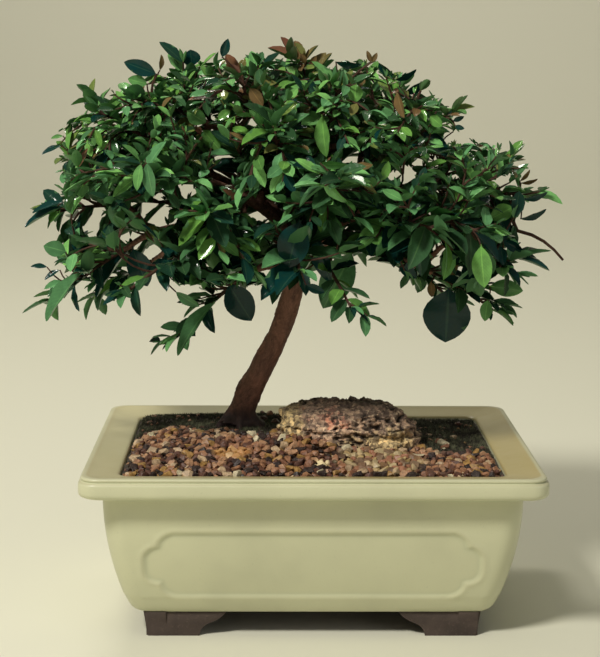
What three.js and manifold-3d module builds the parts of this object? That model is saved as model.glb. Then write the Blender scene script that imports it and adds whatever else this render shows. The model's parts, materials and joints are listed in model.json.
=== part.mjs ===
// Brush cherry bonsai: a small leaning tree with an umbrella crown, planted with a stone in a
// glazed rectangular pot on four bracket feet. Millimetres, +Z up, the photographed front is -Y.
import * as THREE from 'three';
import { mergeVertices } from 'three/addons/utils/BufferGeometryUtils.js';
import Module from 'manifold-3d';

const wasm = await Module();
wasm.setup();

// Driving dimensions of the pot
const RIM_LENGTH = 206.5;
const RIM_DEPTH = 157.5;
const POT_HEIGHT = 78.5;
const FOOT_HEIGHT = 11;
const LEDGE_WIDTH = 17;
const LEDGE_DROP = 2.6;
const CORNER_RADIUS = 8;
const CORNER_STEPS = 3;
const FLOOR_THICKNESS = 6;
const PANEL_DEPTH = 1.4;
const DRAIN_RADIUS = 7;
const DRAIN_X = 42;
const FOOT_X = 75.2;
const FOOT_Y = 56;
const BRACKET_THICKNESS = 9;

// The bulging walls, by how far they stand in from the rim at a height
const WALL_TOP = { z: 67, inset: 9.6 };
const WALL_MIDDLE = { z: 48, inset: 11 };
const WALL_FOOT = { z: 24, inset: 16.2 };
const INNER_INSET_FLOOR = 25;
const FLOOR_Z = FOOT_HEIGHT + FLOOR_THICKNESS;
const LEDGE_Z = POT_HEIGHT - LEDGE_DROP;

// Mesh squares over the drain holes
const SCREEN_SIZE = 24;
const SCREEN_THICKNESS = 1;
const MESH_PITCH = 9;
const MESH_HOLE = 6;

// Driving dimensions of the soil, its gravel and the stone
const SEAT_GAP = 0.3;
const SOIL_EDGE_Z = 75.2;
const MOUND_HEIGHT = 6.2;
const CHIP_PITCH = 9.9;
const CHIP_RELIEF = 2.4;
const STONE_CENTER = new THREE.Vector3(18.2, -2, 73);
const STONE_LENGTH = 68;
const STONE_DEPTH = 46;
const STONE_HEIGHT = 25;

// Driving dimensions of the tree
const TRUNK_FOOT = new THREE.Vector3(-34, 22, 82.5);
const TRUNK_FOOT_RADIUS = 10.5;
const SHAFT_RADIUS = 6.7;
const ROOT_DEPTH = 24;
const ROOT_RADIUS = 9;
const FLARE_REACH = 15;
const TIP_RADIUS = 1.3;
const LEAF_LENGTH = 24.5;
const LEAF_WIDTH = 11;
const LEAF_OVERHANG = 13;
const LEAF_THICKNESS = 0.9;
const LEAF_BEND = 0.12;
const TWIG_RADIUS = 0.85;
const NODE_LENGTH = 1.7;
const CROWN_CENTER = new THREE.Vector3(-9, 13, 170);
const CROWN = { left: 126, right: 120, front: 78, back: 78, top: 96, low: 26, power: 3 };
const OUTER_SPRAYS = 26;
const INNER_SPRAYS = 6;
const SPRAY_LENGTH = 31;
const INNER_SPRAY_LENGTH = 28;
const PAIR_SHARES = [0.2, 0.42, 0.64, 0.84, 1];
const YOUNG_SHOOT_BASES = [[-30, -16, 236], [-4, 8, 243], [44, 2, 230]]
  .map(([x, y, z]) => new THREE.Vector3(x, y, z));
const YOUNG_SHOOT_LENGTH = 15;
const YOUNG_PAIR_SHARES = [0.45, 1];

const COLOURS = {
  glaze: 0xc2c29a,
  soil: 0x6a4b3a,
  stone: 0x7d6b58,
  bark: 0x5b3a2c,
  leaf: 0x2c4f2a,
  youngLeaf: 0x8a4a38,
  screen: 0x2b2b2b,
};
const UP = new THREE.Vector3(0, 0, 1);
const GOLDEN_ANGLE = Math.PI * (3 - Math.sqrt(5));

// Small helpers
const vec = (x, y, z) => new THREE.Vector3(x, y, z);
const degrees = THREE.MathUtils.degToRad;
const mix = THREE.MathUtils.lerp;

// A repeatable random number from 0 to 1
function seededRandom(seed) {
  let state = seed >>> 0;
  return () => {
    state = (state + 0x6d2b79f5) >>> 0;
    let t = state;
    t = Math.imul(t ^ (t >>> 15), t | 1);
    t ^= t + Math.imul(t ^ (t >>> 7), t | 61);
    return ((t ^ (t >>> 14)) >>> 0) / 4294967296;
  };
}

// Solids and their joins
function solidOf(points, triangles) {
  const vertProperties = new Float32Array(points.length * 3);
  points.forEach((p, i) => vertProperties.set([p.x, p.y, p.z], i * 3));
  const mesh = new wasm.Mesh({ numProp: 3, vertProperties, triVerts: new Uint32Array(triangles.flat()) });
  return new wasm.Manifold(mesh);
}

function solidFromGeometry(geometry) {
  const bare = geometry.clone();
  bare.deleteAttribute('normal');
  bare.deleteAttribute('uv');
  const merged = mergeVertices(bare, 1e-4);
  const mesh = new wasm.Mesh({
    numProp: 3,
    vertProperties: new Float32Array(merged.attributes.position.array),
    triVerts: new Uint32Array(merged.index.array),
  });
  return new wasm.Manifold(mesh);
}

function geometryOf(solid) {
  const mesh = solid.getMesh();
  const geometry = new THREE.BufferGeometry();
  geometry.setAttribute('position', new THREE.BufferAttribute(new Float32Array(mesh.vertProperties), 3));
  geometry.setIndex(new THREE.BufferAttribute(new Uint32Array(mesh.triVerts), 1));
  geometry.computeVertexNormals();
  return geometry;
}

function joined(solids) {
  return wasm.Manifold.union(solids);
}

// The largest shell of a solid, free of loose scraps and of hollows that a join has sealed
function mainBody(solid) {
  return solid.decompose().reduce((best, body) => (body.volume() > best.volume() ? body : best));
}

// Skins a stack of rings of equal count, each counterclockwise seen from the far end, and caps both ends
function skin(rings) {
  const count = rings[0].length;
  const triangles = [];
  for (let i = 0; i < rings.length - 1; i += 1) {
    for (let j = 0; j < count; j += 1) {
      const next = (j + 1) % count;
      const a = i * count + j;
      const b = i * count + next;
      const c = (i + 1) * count + next;
      const d = (i + 1) * count + j;
      triangles.push([a, b, c], [a, c, d]);
    }
  }
  const last = (rings.length - 1) * count;
  for (let j = 1; j < count - 1; j += 1) {
    triangles.push([0, j + 1, j], [last, last + j, last + j + 1]);
  }
  return solidOf(rings.flat(), triangles);
}

// A tapered tube along a curve, its ring frame carried along without twist
function taperedTube(curve, steps, radiusAt, sides) {
  const rings = [];
  let normal = null;
  for (let i = 0; i <= steps; i += 1) {
    const t = i / steps;
    const tangent = curve.getTangent(t);
    if (normal === null) {
      normal = Math.abs(tangent.z) > 0.9 ? vec(1, 0, 0) : UP.clone();
    }
    normal.addScaledVector(tangent, -normal.dot(tangent)).normalize();
    const side = tangent.clone().cross(normal);
    const centre = curve.getPoint(t);
    const ring = [];
    for (let j = 0; j < sides; j += 1) {
      const angle = (j / sides) * Math.PI * 2;
      const radius = radiusAt(t, angle);
      ring.push(centre.clone()
        .addScaledVector(normal, Math.cos(angle) * radius)
        .addScaledVector(side, Math.sin(angle) * radius));
    }
    rings.push(ring);
  }
  return skin(rings);
}

const smoothCurve = (points) => new THREE.CatmullRomCurve3(points, false, 'catmullrom', 0.5);

// The pot: rounded rectangles stacked up the outside, over the rim and down the inside
function roundedRectangle(halfX, halfY, radius, z) {
  const ring = [];
  const corners = [[1, 1, 0], [-1, 1, 90], [-1, -1, 180], [1, -1, 270]];
  for (const [sx, sy, start] of corners) {
    for (let k = 0; k <= CORNER_STEPS; k += 1) {
      const angle = degrees(start + (90 * k) / CORNER_STEPS);
      ring.push(vec(
        sx * (halfX - radius) + radius * Math.cos(angle),
        sy * (halfY - radius) + radius * Math.sin(angle),
        z,
      ));
    }
  }
  return ring;
}

// How far the pot's inside wall stands in from the rim's outer edge at a height
function innerInset(z) {
  return mix(INNER_INSET_FLOOR, LEDGE_WIDTH, (z - FLOOR_Z) / (LEDGE_Z - FLOOR_Z));
}

// How far the pot's outside wall stands in from the rim's outer edge at a height
function outerInset(z) {
  const [low, high] = z < WALL_MIDDLE.z ? [WALL_FOOT, WALL_MIDDLE] : [WALL_MIDDLE, WALL_TOP];
  return mix(low.inset, high.inset, (z - low.z) / (high.z - low.z));
}

function potRing(inset, z, radius = CORNER_RADIUS) {
  return roundedRectangle(RIM_LENGTH / 2 - inset, RIM_DEPTH / 2 - inset, radius, z);
}

function potShell() {
  return skin([
    potRing(23.5, FOOT_HEIGHT, 7),
    potRing(20.7, FOOT_HEIGHT + 1.7, 8),
    potRing(18.1, FOOT_HEIGHT + 6.5, 9),
    potRing(WALL_FOOT.inset, WALL_FOOT.z, 9.5),
    potRing(WALL_MIDDLE.inset, WALL_MIDDLE.z, 9.5),
    potRing(WALL_TOP.inset, WALL_TOP.z, 9.5),
    potRing(2.6, POT_HEIGHT - 10),
    potRing(0, POT_HEIGHT - 8.2),
    potRing(1.4, POT_HEIGHT - 5.2),
    potRing(1.4, POT_HEIGHT - 2.2),
    potRing(0.4, POT_HEIGHT - 0.9),
    potRing(1.4, POT_HEIGHT),
    potRing(3.2, POT_HEIGHT - 0.2),
    potRing(4.2, POT_HEIGHT - 1.2),
    potRing(LEDGE_WIDTH, LEDGE_Z, 6),
    potRing(INNER_INSET_FLOOR, FLOOR_Z, 6),
  ]);
}

// The sunk panel on each long wall, a rectangle whose corners curl inwards in two arcs
function panelShape() {
  const halfWidth = 75;
  const low = 20.5;
  const high = 51;
  const curl = 7;
  const shape = new THREE.Shape();
  shape.moveTo(-halfWidth + 2 * curl, low);
  shape.lineTo(halfWidth - 2 * curl, low);
  shape.quadraticCurveTo(halfWidth - 1.1 * curl, low + 0.2 * curl, halfWidth - curl, low + curl);
  shape.quadraticCurveTo(halfWidth, low + curl, halfWidth, low + 2 * curl);
  shape.lineTo(halfWidth, high - 1.6 * curl);
  shape.quadraticCurveTo(halfWidth - 0.2 * curl, high - curl, halfWidth - 0.9 * curl, high - 0.9 * curl);
  shape.quadraticCurveTo(halfWidth - curl, high - 0.2 * curl, halfWidth - 1.8 * curl, high);
  shape.lineTo(-halfWidth + 1.8 * curl, high);
  shape.quadraticCurveTo(-halfWidth + curl, high - 0.2 * curl, -halfWidth + 0.9 * curl, high - 0.9 * curl);
  shape.quadraticCurveTo(-halfWidth + 0.2 * curl, high - curl, -halfWidth, high - 1.6 * curl);
  shape.lineTo(-halfWidth, low + 2 * curl);
  shape.quadraticCurveTo(-halfWidth, low + curl, -halfWidth + curl, low + curl);
  shape.quadraticCurveTo(-halfWidth + 1.1 * curl, low + 0.2 * curl, -halfWidth + 2 * curl, low);
  return shape;
}

// The cutter leans with the wall, so the panel is equally deep all over
function panelCutter(front) {
  const reach = 12;
  const geometry = new THREE.ExtrudeGeometry(panelShape(), {
    depth: reach,
    bevelEnabled: false,
    curveSegments: 2,
  });
  const position = geometry.attributes.position;
  for (let i = 0; i < position.count; i += 1) {
    const x = position.getX(i);
    const z = position.getY(i);
    const outward = RIM_DEPTH / 2 - outerInset(z) - PANEL_DEPTH + position.getZ(i);
    position.setXYZ(i, front ? x : -x, front ? -outward : outward, z);
  }
  return solidFromGeometry(geometry);
}

// One bracket of a foot: a flat sole, a short heel and a curved apron that dies out under the floor
function bracket(soleLength, apronLength, thickness) {
  const top = FOOT_HEIGHT + 2;
  const shape = new THREE.Shape();
  shape.moveTo(-1.2, top);
  shape.lineTo(0.8, 0);
  shape.lineTo(soleLength, 0);
  shape.quadraticCurveTo(soleLength + 0.5, 4.5, soleLength + 5, 6);
  shape.quadraticCurveTo(apronLength - 2, 8, apronLength, FOOT_HEIGHT);
  shape.lineTo(apronLength, top);
  shape.closePath();
  return new THREE.ExtrudeGeometry(shape, { depth: thickness, bevelEnabled: false, curveSegments: 3 });
}

// A copy mirrored across X, Y or both, its triangles turned so that they still face out
function mirrored(geometry, sx, sy) {
  const copy = geometry.clone();
  copy.scale(sx, sy, 1);
  if (sx * sy < 0) {
    const position = copy.attributes.position;
    const second = vec(0, 0, 0);
    const third = vec(0, 0, 0);
    for (let i = 0; i < position.count; i += 3) {
      second.fromBufferAttribute(position, i + 1);
      third.fromBufferAttribute(position, i + 2);
      position.setXYZ(i + 1, third.x, third.y, third.z);
      position.setXYZ(i + 2, second.x, second.y, second.z);
    }
  }
  return copy;
}

function foot(sx, sy) {
  const alongX = bracket(24, 36, BRACKET_THICKNESS);
  alongX.rotateX(Math.PI / 2);
  alongX.translate(-FOOT_X, -FOOT_Y + BRACKET_THICKNESS, 0);
  const alongY = bracket(20, 31, BRACKET_THICKNESS);
  alongY.rotateX(Math.PI / 2);
  alongY.rotateZ(Math.PI / 2);
  alongY.translate(-FOOT_X, -FOOT_Y, 0);
  return joined([alongX, alongY].map((part) => solidFromGeometry(mirrored(part, sx, sy))));
}

function uprightCylinder(x, y, low, high, radius, sides) {
  const geometry = new THREE.CylinderGeometry(radius, radius, high - low, sides);
  geometry.rotateX(Math.PI / 2);
  geometry.translate(x, y, (low + high) / 2);
  return solidFromGeometry(geometry);
}

function pot() {
  const feet = [[-1, -1], [1, -1], [-1, 1], [1, 1]].map(([sx, sy]) => foot(sx, sy));
  let solid = joined([potShell(), ...feet]);
  solid = solid.subtract(panelCutter(true)).subtract(panelCutter(false));
  for (const x of [-DRAIN_X, DRAIN_X]) {
    solid = solid.subtract(uprightCylinder(x, 0, FOOT_HEIGHT - 5, FLOOR_Z + 5, DRAIN_RADIUS, 12));
  }
  return solid;
}

function block(sizeX, sizeY, sizeZ, x, y, z) {
  const geometry = new THREE.BoxGeometry(sizeX, sizeY, sizeZ);
  geometry.translate(x, y, z);
  return solidFromGeometry(geometry);
}

// A square of plastic mesh over a drain hole
function drainScreen(x) {
  const z = FLOOR_Z + SEAT_GAP + SCREEN_THICKNESS / 2;
  let solid = block(SCREEN_SIZE, SCREEN_SIZE, SCREEN_THICKNESS, x, 0, z);
  for (const dx of [-0.5, 0.5]) {
    for (const dy of [-0.5, 0.5]) {
      const cx = x + dx * MESH_PITCH;
      const cy = dy * MESH_PITCH;
      solid = solid.subtract(block(MESH_HOLE, MESH_HOLE, 3 * SCREEN_THICKNESS, cx, cy, z));
    }
  }
  return solid;
}

// The soil: the inside of the pot below a mound covered with angular chips
function groundHeight(x, y) {
  const acrossX = Math.max(0, 1 - ((x + 22) / 98) ** 2);
  const acrossY = Math.max(0, 1 - ((y - 10) / 68) ** 2);
  const fromWall = Math.min(RIM_LENGTH / 2 - Math.abs(x), RIM_DEPTH / 2 - Math.abs(y)) - LEDGE_WIDTH;
  const wallFade = THREE.MathUtils.smoothstep(fromWall, -2, 22);
  return SOIL_EDGE_Z + MOUND_HEIGHT * acrossX * acrossY * wallFade;
}

function chipBlanket(bottom) {
  const random = seededRandom(41);
  const halfX = 90;
  const halfY = 66;
  const columns = Math.round((2 * halfX) / CHIP_PITCH);
  const rows = Math.round((2 * halfY) / CHIP_PITCH);
  const points = [];
  const triangles = [];
  const corner = (i, j) => j * (columns + 1) + i;
  for (let j = 0; j <= rows; j += 1) {
    for (let i = 0; i <= columns; i += 1) {
      const rim = i === 0 || j === 0 || i === columns || j === rows;
      const shift = rim ? 0 : CHIP_PITCH * 0.44;
      const x = mix(-halfX, halfX, i / columns) + (random() - 0.5) * shift;
      const y = mix(-halfY, halfY, j / rows) + (random() - 0.5) * shift;
      points.push(vec(x, y, groundHeight(x, y) - CHIP_RELIEF * 0.5 * random()));
    }
  }
  for (let j = 0; j < rows; j += 1) {
    for (let i = 0; i < columns; i += 1) {
      const ring = [corner(i, j), corner(i + 1, j), corner(i + 1, j + 1), corner(i, j + 1)];
      const x = mix(-halfX, halfX, (i + 0.5) / columns) + (random() - 0.5) * CHIP_PITCH * 0.4;
      const y = mix(-halfY, halfY, (j + 0.5) / rows) + (random() - 0.5) * CHIP_PITCH * 0.4;
      const peak = points.length;
      points.push(vec(x, y, groundHeight(x, y) + CHIP_RELIEF * mix(0.25, 1, random())));
      ring.forEach((index, k) => triangles.push([index, ring[(k + 1) % 4], peak]));
    }
  }
  const border = [];
  for (let i = 0; i < columns; i += 1) border.push(corner(i, 0));
  for (let j = 0; j < rows; j += 1) border.push(corner(columns, j));
  for (let i = columns; i > 0; i -= 1) border.push(corner(i, rows));
  for (let j = rows; j > 0; j -= 1) border.push(corner(0, j));
  const first = points.length;
  border.forEach((index) => points.push(points[index].clone().setZ(bottom)));
  const hub = points.length;
  points.push(vec(0, 0, bottom));
  border.forEach((index, k) => {
    const next = (k + 1) % border.length;
    triangles.push([index, first + k, first + next], [index, first + next, border[next]]);
    triangles.push([hub, first + next, first + k]);
  });
  return solidOf(points, triangles);
}

function potInside(gap, low, high) {
  return skin([
    potRing(innerInset(low) + gap, low, 6 - gap),
    potRing(innerInset(high) + gap, high, 6 - gap),
  ]);
}

function soil(stoneSeat) {
  const low = FLOOR_Z + SEAT_GAP;
  let solid = potInside(SEAT_GAP, low, SOIL_EDGE_Z + 40).intersect(chipBlanket(low - 5));
  solid = solid.subtract(stoneSeat);
  const { x, y, z } = TRUNK_FOOT;
  solid = solid.subtract(
    uprightCylinder(x, y, z - ROOT_DEPTH - SEAT_GAP, z + 20, ROOT_RADIUS + SEAT_GAP, 12),
  );
  solid = solid.subtract(uprightCylinder(x, y, z - SEAT_GAP, z + 20, FLARE_REACH + SEAT_GAP, 16));
  for (const screenX of [-DRAIN_X, DRAIN_X]) {
    const pocket = SCREEN_SIZE + 2 * SEAT_GAP;
    solid = solid.subtract(block(pocket, pocket, 2 * (SCREEN_THICKNESS + SEAT_GAP), screenX, 0, low));
  }
  return mainBody(solid);
}

// The stone: a weathered block in rough layers, steep at its left end and falling away to the right
function stone(grow) {
  const random = seededRandom(77);
  const layers = [
    [0, 0.3, 0.88, 0.86],
    [0.14, 0.3, 1, 1],
    [0.34, 0, 1, 0.99],
    [0.38, -0.2, 0.96, 0.93],
    [0.58, -1.5, 0.95, 0.9],
    [0.62, -1.8, 0.9, 0.84],
    [0.8, -3.2, 0.86, 0.76],
    [0.88, -2.4, 0.7, 0.62],
    [0.96, -1, 0.48, 0.42],
    [1, -0.5, 0.22, 0.2],
  ];
  const count = 18;
  const squareness = 0.78;
  const rings = layers.map(([level, shift, lengthShare, depthShare]) => {
    const ring = [];
    for (let j = 0; j < count; j += 1) {
      const angle = (j / count) * Math.PI * 2;
      const rough = 1 + (random() - 0.5) * 0.16;
      const c = Math.sign(Math.cos(angle)) * Math.abs(Math.cos(angle)) ** squareness;
      const s = Math.sign(Math.sin(angle)) * Math.abs(Math.sin(angle)) ** squareness;
      const halfX = (STONE_LENGTH / 2) * lengthShare * rough + grow;
      const halfY = (STONE_DEPTH / 2) * depthShare * rough + grow;
      const lift = level === 0 ? 0 : (random() - 0.5) * 1.3;
      ring.push(vec(
        STONE_CENTER.x + shift + c * halfX,
        STONE_CENTER.y + s * halfY,
        STONE_CENTER.z + level * STONE_HEIGHT + lift + (level < 0.2 ? -grow : grow),
      ));
    }
    return ring;
  });
  return skin(rings);
}

// The trunk leans to the right out of a flare that sits on a buried root stub
const TRUNK_ROUTE = [
  TRUNK_FOOT,
  vec(-33, 21.8, 89),
  vec(-28.6, 20.5, 100),
  vec(-21.6, 18.5, 114),
  vec(-14.8, 17, 128),
  vec(-9.4, 15.5, 146),
  vec(-5.4, 14.5, 166),
  vec(-7, 14, 184),
];

function trunkRadius(t, angle) {
  const shaft = mix(SHAFT_RADIUS, SHAFT_RADIUS * 0.62, t);
  const flare = (TRUNK_FOOT_RADIUS - SHAFT_RADIUS) * Math.exp(-t * 17);
  const lobes = 1 + 0.32 * Math.exp(-t * 14) * Math.cos(3 * angle + 0.6);
  const knots = 1 + 0.05 * Math.sin(t * 31 + 2 * angle);
  return (shaft * knots + flare) * lobes;
}

// The limbs, each from a place on the trunk to the tip where its end spray grows
const LIMBS = [
  [vec(-5.2, 14.5, 165), vec(-24, 9, 178), vec(-53, 2, 181), vec(-74, -4, 178), vec(-88, -8, 170)],
  [vec(-5.6, 14.2, 172), vec(-24, 17, 190), vec(-52, 22, 205), vec(-80, 25, 209)],
  [vec(-5.2, 14.3, 168), vec(-20, 2, 186), vec(-42, -18, 201), vec(-56, -30, 205)],
  [vec(-5.2, 14.3, 170), vec(-20, 30, 188), vec(-42, 46, 203), vec(-54, 54, 206)],
  [vec(-6.8, 14, 182), vec(-16, 10, 200), vec(-32, 2, 220), vec(-50, -4, 229)],
  [vec(-6.8, 14, 182), vec(-1, 11, 200), vec(10, 3, 216), vec(25, -9, 226)],
  [vec(-5.2, 14.3, 170), vec(-3, -4, 188), vec(0, -24, 201), vec(3, -36, 204)],
  [vec(-5, 14.6, 162), vec(8, 11, 173), vec(29, 5, 169), vec(46, 0, 164), vec(57, -2, 159)],
  [vec(-5.1, 14.4, 168), vec(14, 14, 186), vec(42, 12, 198), vec(70, 10, 198)],
  [vec(-5.1, 14.4, 167), vec(12, 2, 182), vec(34, -18, 190), vec(48, -29, 189)],
  [vec(-5.1, 14.4, 169), vec(12, 28, 186), vec(34, 44, 194), vec(48, 53, 193)],
  [vec(-5.4, 14.2, 172), vec(-8, 30, 190), vec(-8, 46, 203), vec(-8, 56, 206)],
  [vec(-7, 15, 155), vec(-18, 10, 161), vec(-30, 5, 158), vec(-39, 3, 151)],
];
const LIMB_ROOT_RADIUS = 3.1;

// How far the crown reaches from its centre in a direction
function crownReach(u) {
  const a = u.x < 0 ? CROWN.left : CROWN.right;
  const b = u.y < 0 ? CROWN.front : CROWN.back;
  const c = u.z < 0 ? CROWN.low : CROWN.top;
  const sum = Math.abs(u.x / a) ** CROWN.power + Math.abs(u.y / b) ** CROWN.power
    + Math.abs(u.z / c) ** CROWN.power;
  return sum ** (-1 / CROWN.power);
}

function sprayPlans() {
  const plans = [];
  LIMBS.forEach((route) => {
    const [before, tip] = route.slice(-2);
    const aim = tip.clone().sub(before).normalize();
    plans.push({ base: tip, aim, length: SPRAY_LENGTH, ownTip: true });
  });
  const addShell = (count, share, lowest, phase, length) => {
    for (let k = 0; k < count; k += 1) {
      const random = seededRandom(500 + plans.length);
      const up = mix(Math.sin(degrees(lowest)), 0.985, (k + 0.5) / count);
      const flat = Math.sqrt(1 - up * up);
      const azimuth = k * GOLDEN_ANGLE + phase + (random() - 0.5) * 0.3;
      const u = vec(flat * Math.cos(azimuth), flat * Math.sin(azimuth), up);
      const reach = crownReach(u) * share - length - LEAF_OVERHANG;
      const base = CROWN_CENTER.clone().addScaledVector(u, reach);
      const aim = u.clone().add(vec(0, 0, mix(-0.35, 0.2, Math.max(0, up)))).normalize();
      plans.push({ base, aim, length, ownTip: false });
    }
  };
  addShell(OUTER_SPRAYS, 1, -12, 0.4, SPRAY_LENGTH);
  addShell(INNER_SPRAYS, 0.72, 8, 0.8, INNER_SPRAY_LENGTH);
  return plans;
}

const limbCurves = LIMBS.map(smoothCurve);

// The place on a limb that a branch to this spray would leave from
function branchOrigin(plan) {
  let best = null;
  limbCurves.forEach((curve) => {
    for (let k = 2; k <= 9; k += 1) {
      const t = k / 10;
      const point = curve.getPoint(t);
      const towards = plan.base.clone().sub(point);
      const distance = towards.length();
      const along = curve.getTangent(t).dot(towards) / distance;
      const cost = distance * (1.35 - 0.6 * along);
      if (best === null || cost < best.cost) best = { cost, point, t, tangent: curve.getTangent(t) };
    }
  });
  return best;
}

function branchCurve(origin, plan) {
  const span = plan.base.distanceTo(origin.point);
  return new THREE.CubicBezierCurve3(
    origin.point,
    origin.point.clone().addScaledVector(origin.tangent, span * 0.35),
    plan.base.clone().addScaledVector(plan.aim, -span * 0.35),
    plan.base,
  );
}

// The four corners of a leaf's section at a share of its length, in the order left, top, right, keel
function leafSection(leaf, share, halfWidth, keel, fold, thicker) {
  const { base, along, up, length } = leaf;
  const left = up.clone().cross(along);
  const droop = -LEAF_BEND * length * share * share;
  const place = (sideways, rise) => base.clone()
    .addScaledVector(along, share * length)
    .addScaledVector(left, sideways)
    .addScaledVector(up, rise + droop);
  return [
    place(halfWidth + thicker, fold),
    place(0, thicker),
    place(-halfWidth - thicker, fold),
    place(0, -keel - thicker),
  ];
}

// The two full sections and the tip of a folded leaf blade
function leafBlade(leaf, thicker = 0) {
  const half = leaf.width / 2;
  const fold = 0.2 * leaf.width;
  return {
    first: leafSection(leaf, 0.36, half * 0.95, LEAF_THICKNESS, fold, thicker),
    second: leafSection(leaf, 0.7, half * 0.8, LEAF_THICKNESS * 0.8, fold * 0.8, thicker),
    tip: leafSection(leaf, 1 + thicker / leaf.length, 0, 0, 0, 0)[1],
  };
}

// Triangles of a leaf from its base corners, both faces of the blade split alike
function leafTriangles(base, first, second, tip) {
  const triangles = [];
  for (let j = 0; j < 4; j += 1) {
    const next = (j + 1) % 4;
    triangles.push([base[j], base[next], first[next]], [base[j], first[next], first[j]]);
    triangles.push([second[j], second[next], tip]);
  }
  const [left, top, right, keel] = [0, 1, 2, 3];
  for (const [edge, middle] of [[left, top], [right, top], [left, keel], [right, keel]]) {
    const inward = (edge === left) === (middle === top);
    const near = [first[edge], first[middle], second[middle]];
    const far = [first[edge], second[middle], second[edge]];
    triangles.push(inward ? near : near.reverse(), inward ? far : far.reverse());
  }
  return triangles;
}

// A leaf on its own, used to find out what it would cross
function looseLeaf(leaf, thicker) {
  const { first, second, tip } = leafBlade(leaf, thicker);
  const start = leafSection(leaf, 0.05, 0.4, 0.4, 0, thicker);
  const points = [...start, ...first, ...second, tip];
  const triangles = leafTriangles([0, 1, 2, 3], [4, 5, 6, 7], [8, 9, 10, 11], 12);
  triangles.push([0, 3, 2], [0, 2, 1]);
  return solidOf(points, triangles);
}

// The three corners of a stem's section: top, lower right and lower left
function stemSection(plan, share) {
  const centre = plan.stem.getPoint(share);
  const tangent = plan.stem.getTangent(share);
  const { across, over } = stemFrame(tangent);
  const radius = TWIG_RADIUS * mix(1.25, 0.8, share);
  return [90, 210, 330].map((turn) => centre.clone()
    .addScaledVector(across, radius * Math.cos(degrees(turn)))
    .addScaledVector(over, radius * Math.sin(degrees(turn))));
}

// The level direction to the left of a stem and the direction out of its upper side
function stemFrame(tangent) {
  const across = UP.clone().cross(tangent);
  if (across.length() < 0.25) across.copy(vec(0, -1, 0).cross(tangent));
  across.normalize();
  return { across, over: tangent.clone().cross(across).normalize() };
}

// The leaves of a spray: opposite pairs up its stem, each turned from the last, and two at the tip
function leafDrafts(plan, seed) {
  const random = seededRandom(seed);
  const outward = vec(plan.aim.x, plan.aim.y, 0.15).normalize();
  const face = UP.clone().addScaledVector(outward, 0.55).normalize();
  return plan.shares.map((share, pair) => {
    const tangent = plan.stem.getTangent(share);
    const { across, over } = stemFrame(tangent);
    const turn = degrees(pair % 2 === 0 ? 38 : -22) + (random() - 0.5) * 0.5;
    const spread = degrees(mix(64, 40, share)) + (random() - 0.5) * 0.2;
    const size = plan.leafScale * mix(1.04, 0.84, share) * mix(0.86, 1.14, random());
    return [1, -1].map((side) => {
      const wobble = (random() - 0.5) * 0.3;
      const roll = (random() - 0.5) * 0.9;
      const sag = plan.young ? 0 : mix(0.08, 0.32, random());
      const base = plan.stem.getPoint(share).addScaledVector(across, side * TWIG_RADIUS * 0.5);
      const frame = { base, tangent, across, over, face };
      return { ...frame, side, turn: turn * side, spread: spread + wobble, roll, sag, size };
    });
  });
}

// A leaf as drafted, or bent aside by a later try when its first place is taken
const TRIES = [1, 0.85, 0.7].flatMap((shrink) => [0, 0.35, -0.35, 0.7, -0.7, 1.05].flatMap(
  (aside) => [0, 0.3, -0.3].map((open) => [aside, open, shrink]),
));
function settledLeaf(draft, [bendAside, openUp, shrink]) {
  const turn = draft.turn + bendAside;
  const spread = draft.spread + openUp;
  const along = draft.tangent.clone().multiplyScalar(Math.cos(spread))
    .addScaledVector(draft.across, draft.side * Math.sin(spread) * Math.cos(turn))
    .addScaledVector(draft.over, Math.sin(spread) * Math.sin(turn) * draft.side);
  along.z -= draft.sag;
  along.normalize();
  const up = draft.face.clone().addScaledVector(along, -draft.face.dot(along)).normalize();
  up.applyAxisAngle(along, draft.roll);
  const scale = draft.size * shrink;
  return { base: draft.base, along, up, length: LEAF_LENGTH * scale, width: LEAF_WIDTH * scale };
}

// One closed mesh of a stem and its leaves, each leaf grown out of a side of the stem
function spraySolid(plan) {
  const points = [];
  const triangles = [];
  const add = (list) => list.map((p) => points.push(p) - 1);
  const band = (a, b, sides) => sides.forEach((j) => {
    const next = (j + 1) % 3;
    triangles.push([a[j], a[next], b[next]], [a[j], b[next], b[j]]);
  });
  const reach = NODE_LENGTH / 2 / plan.length;
  let last = add(stemSection(plan, 0));
  triangles.push([last[0], last[2], last[1]]);
  plan.shares.forEach((share, pair) => {
    const low = add(stemSection(plan, share - reach * (share === 1 ? 2 : 1)));
    const high = add(stemSection(plan, Math.min(1, share + reach)));
    band(last, low, [0, 1, 2]);
    const [left, right] = plan.leaves[pair];
    band(low, high, [1, ...(left ? [] : [2]), ...(right ? [] : [0])]);
    const corners = [
      [low[0], high[0], high[2], low[2]],
      [high[0], low[0], low[1], high[1]],
    ];
    [left, right].forEach((leaf, k) => {
      if (!leaf) return;
      const { first, second, tip } = leafBlade(leaf);
      triangles.push(...leafTriangles(corners[k], add(first), add(second), add([tip])[0]));
    });
    last = high;
  });
  triangles.push([last[0], last[1], last[2]]);
  return solidOf(points, triangles);
}

// The stem of a spray: straight out of its branch, then swung aside and sagging at its end
const STEM_SWINGS = [
  [0, 0], [0.25, 0], [-0.25, 0], [0, 0.25], [0, -0.25],
  [0.45, 0.2], [-0.45, 0.2], [0.45, -0.2], [-0.45, -0.2],
];
function stemCurve(plan, start, [aside, rise]) {
  const { across, over } = stemFrame(plan.aim);
  const sag = plan.young ? 0 : -plan.length * 0.12;
  return new THREE.QuadraticBezierCurve3(
    start,
    start.clone().addScaledVector(plan.aim, plan.length / 2),
    start.clone()
      .addScaledVector(plan.aim, plan.length)
      .addScaledVector(across, aside * plan.length)
      .addScaledVector(over, rise * plan.length)
      .add(vec(0, 0, sag)),
  );
}

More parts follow.
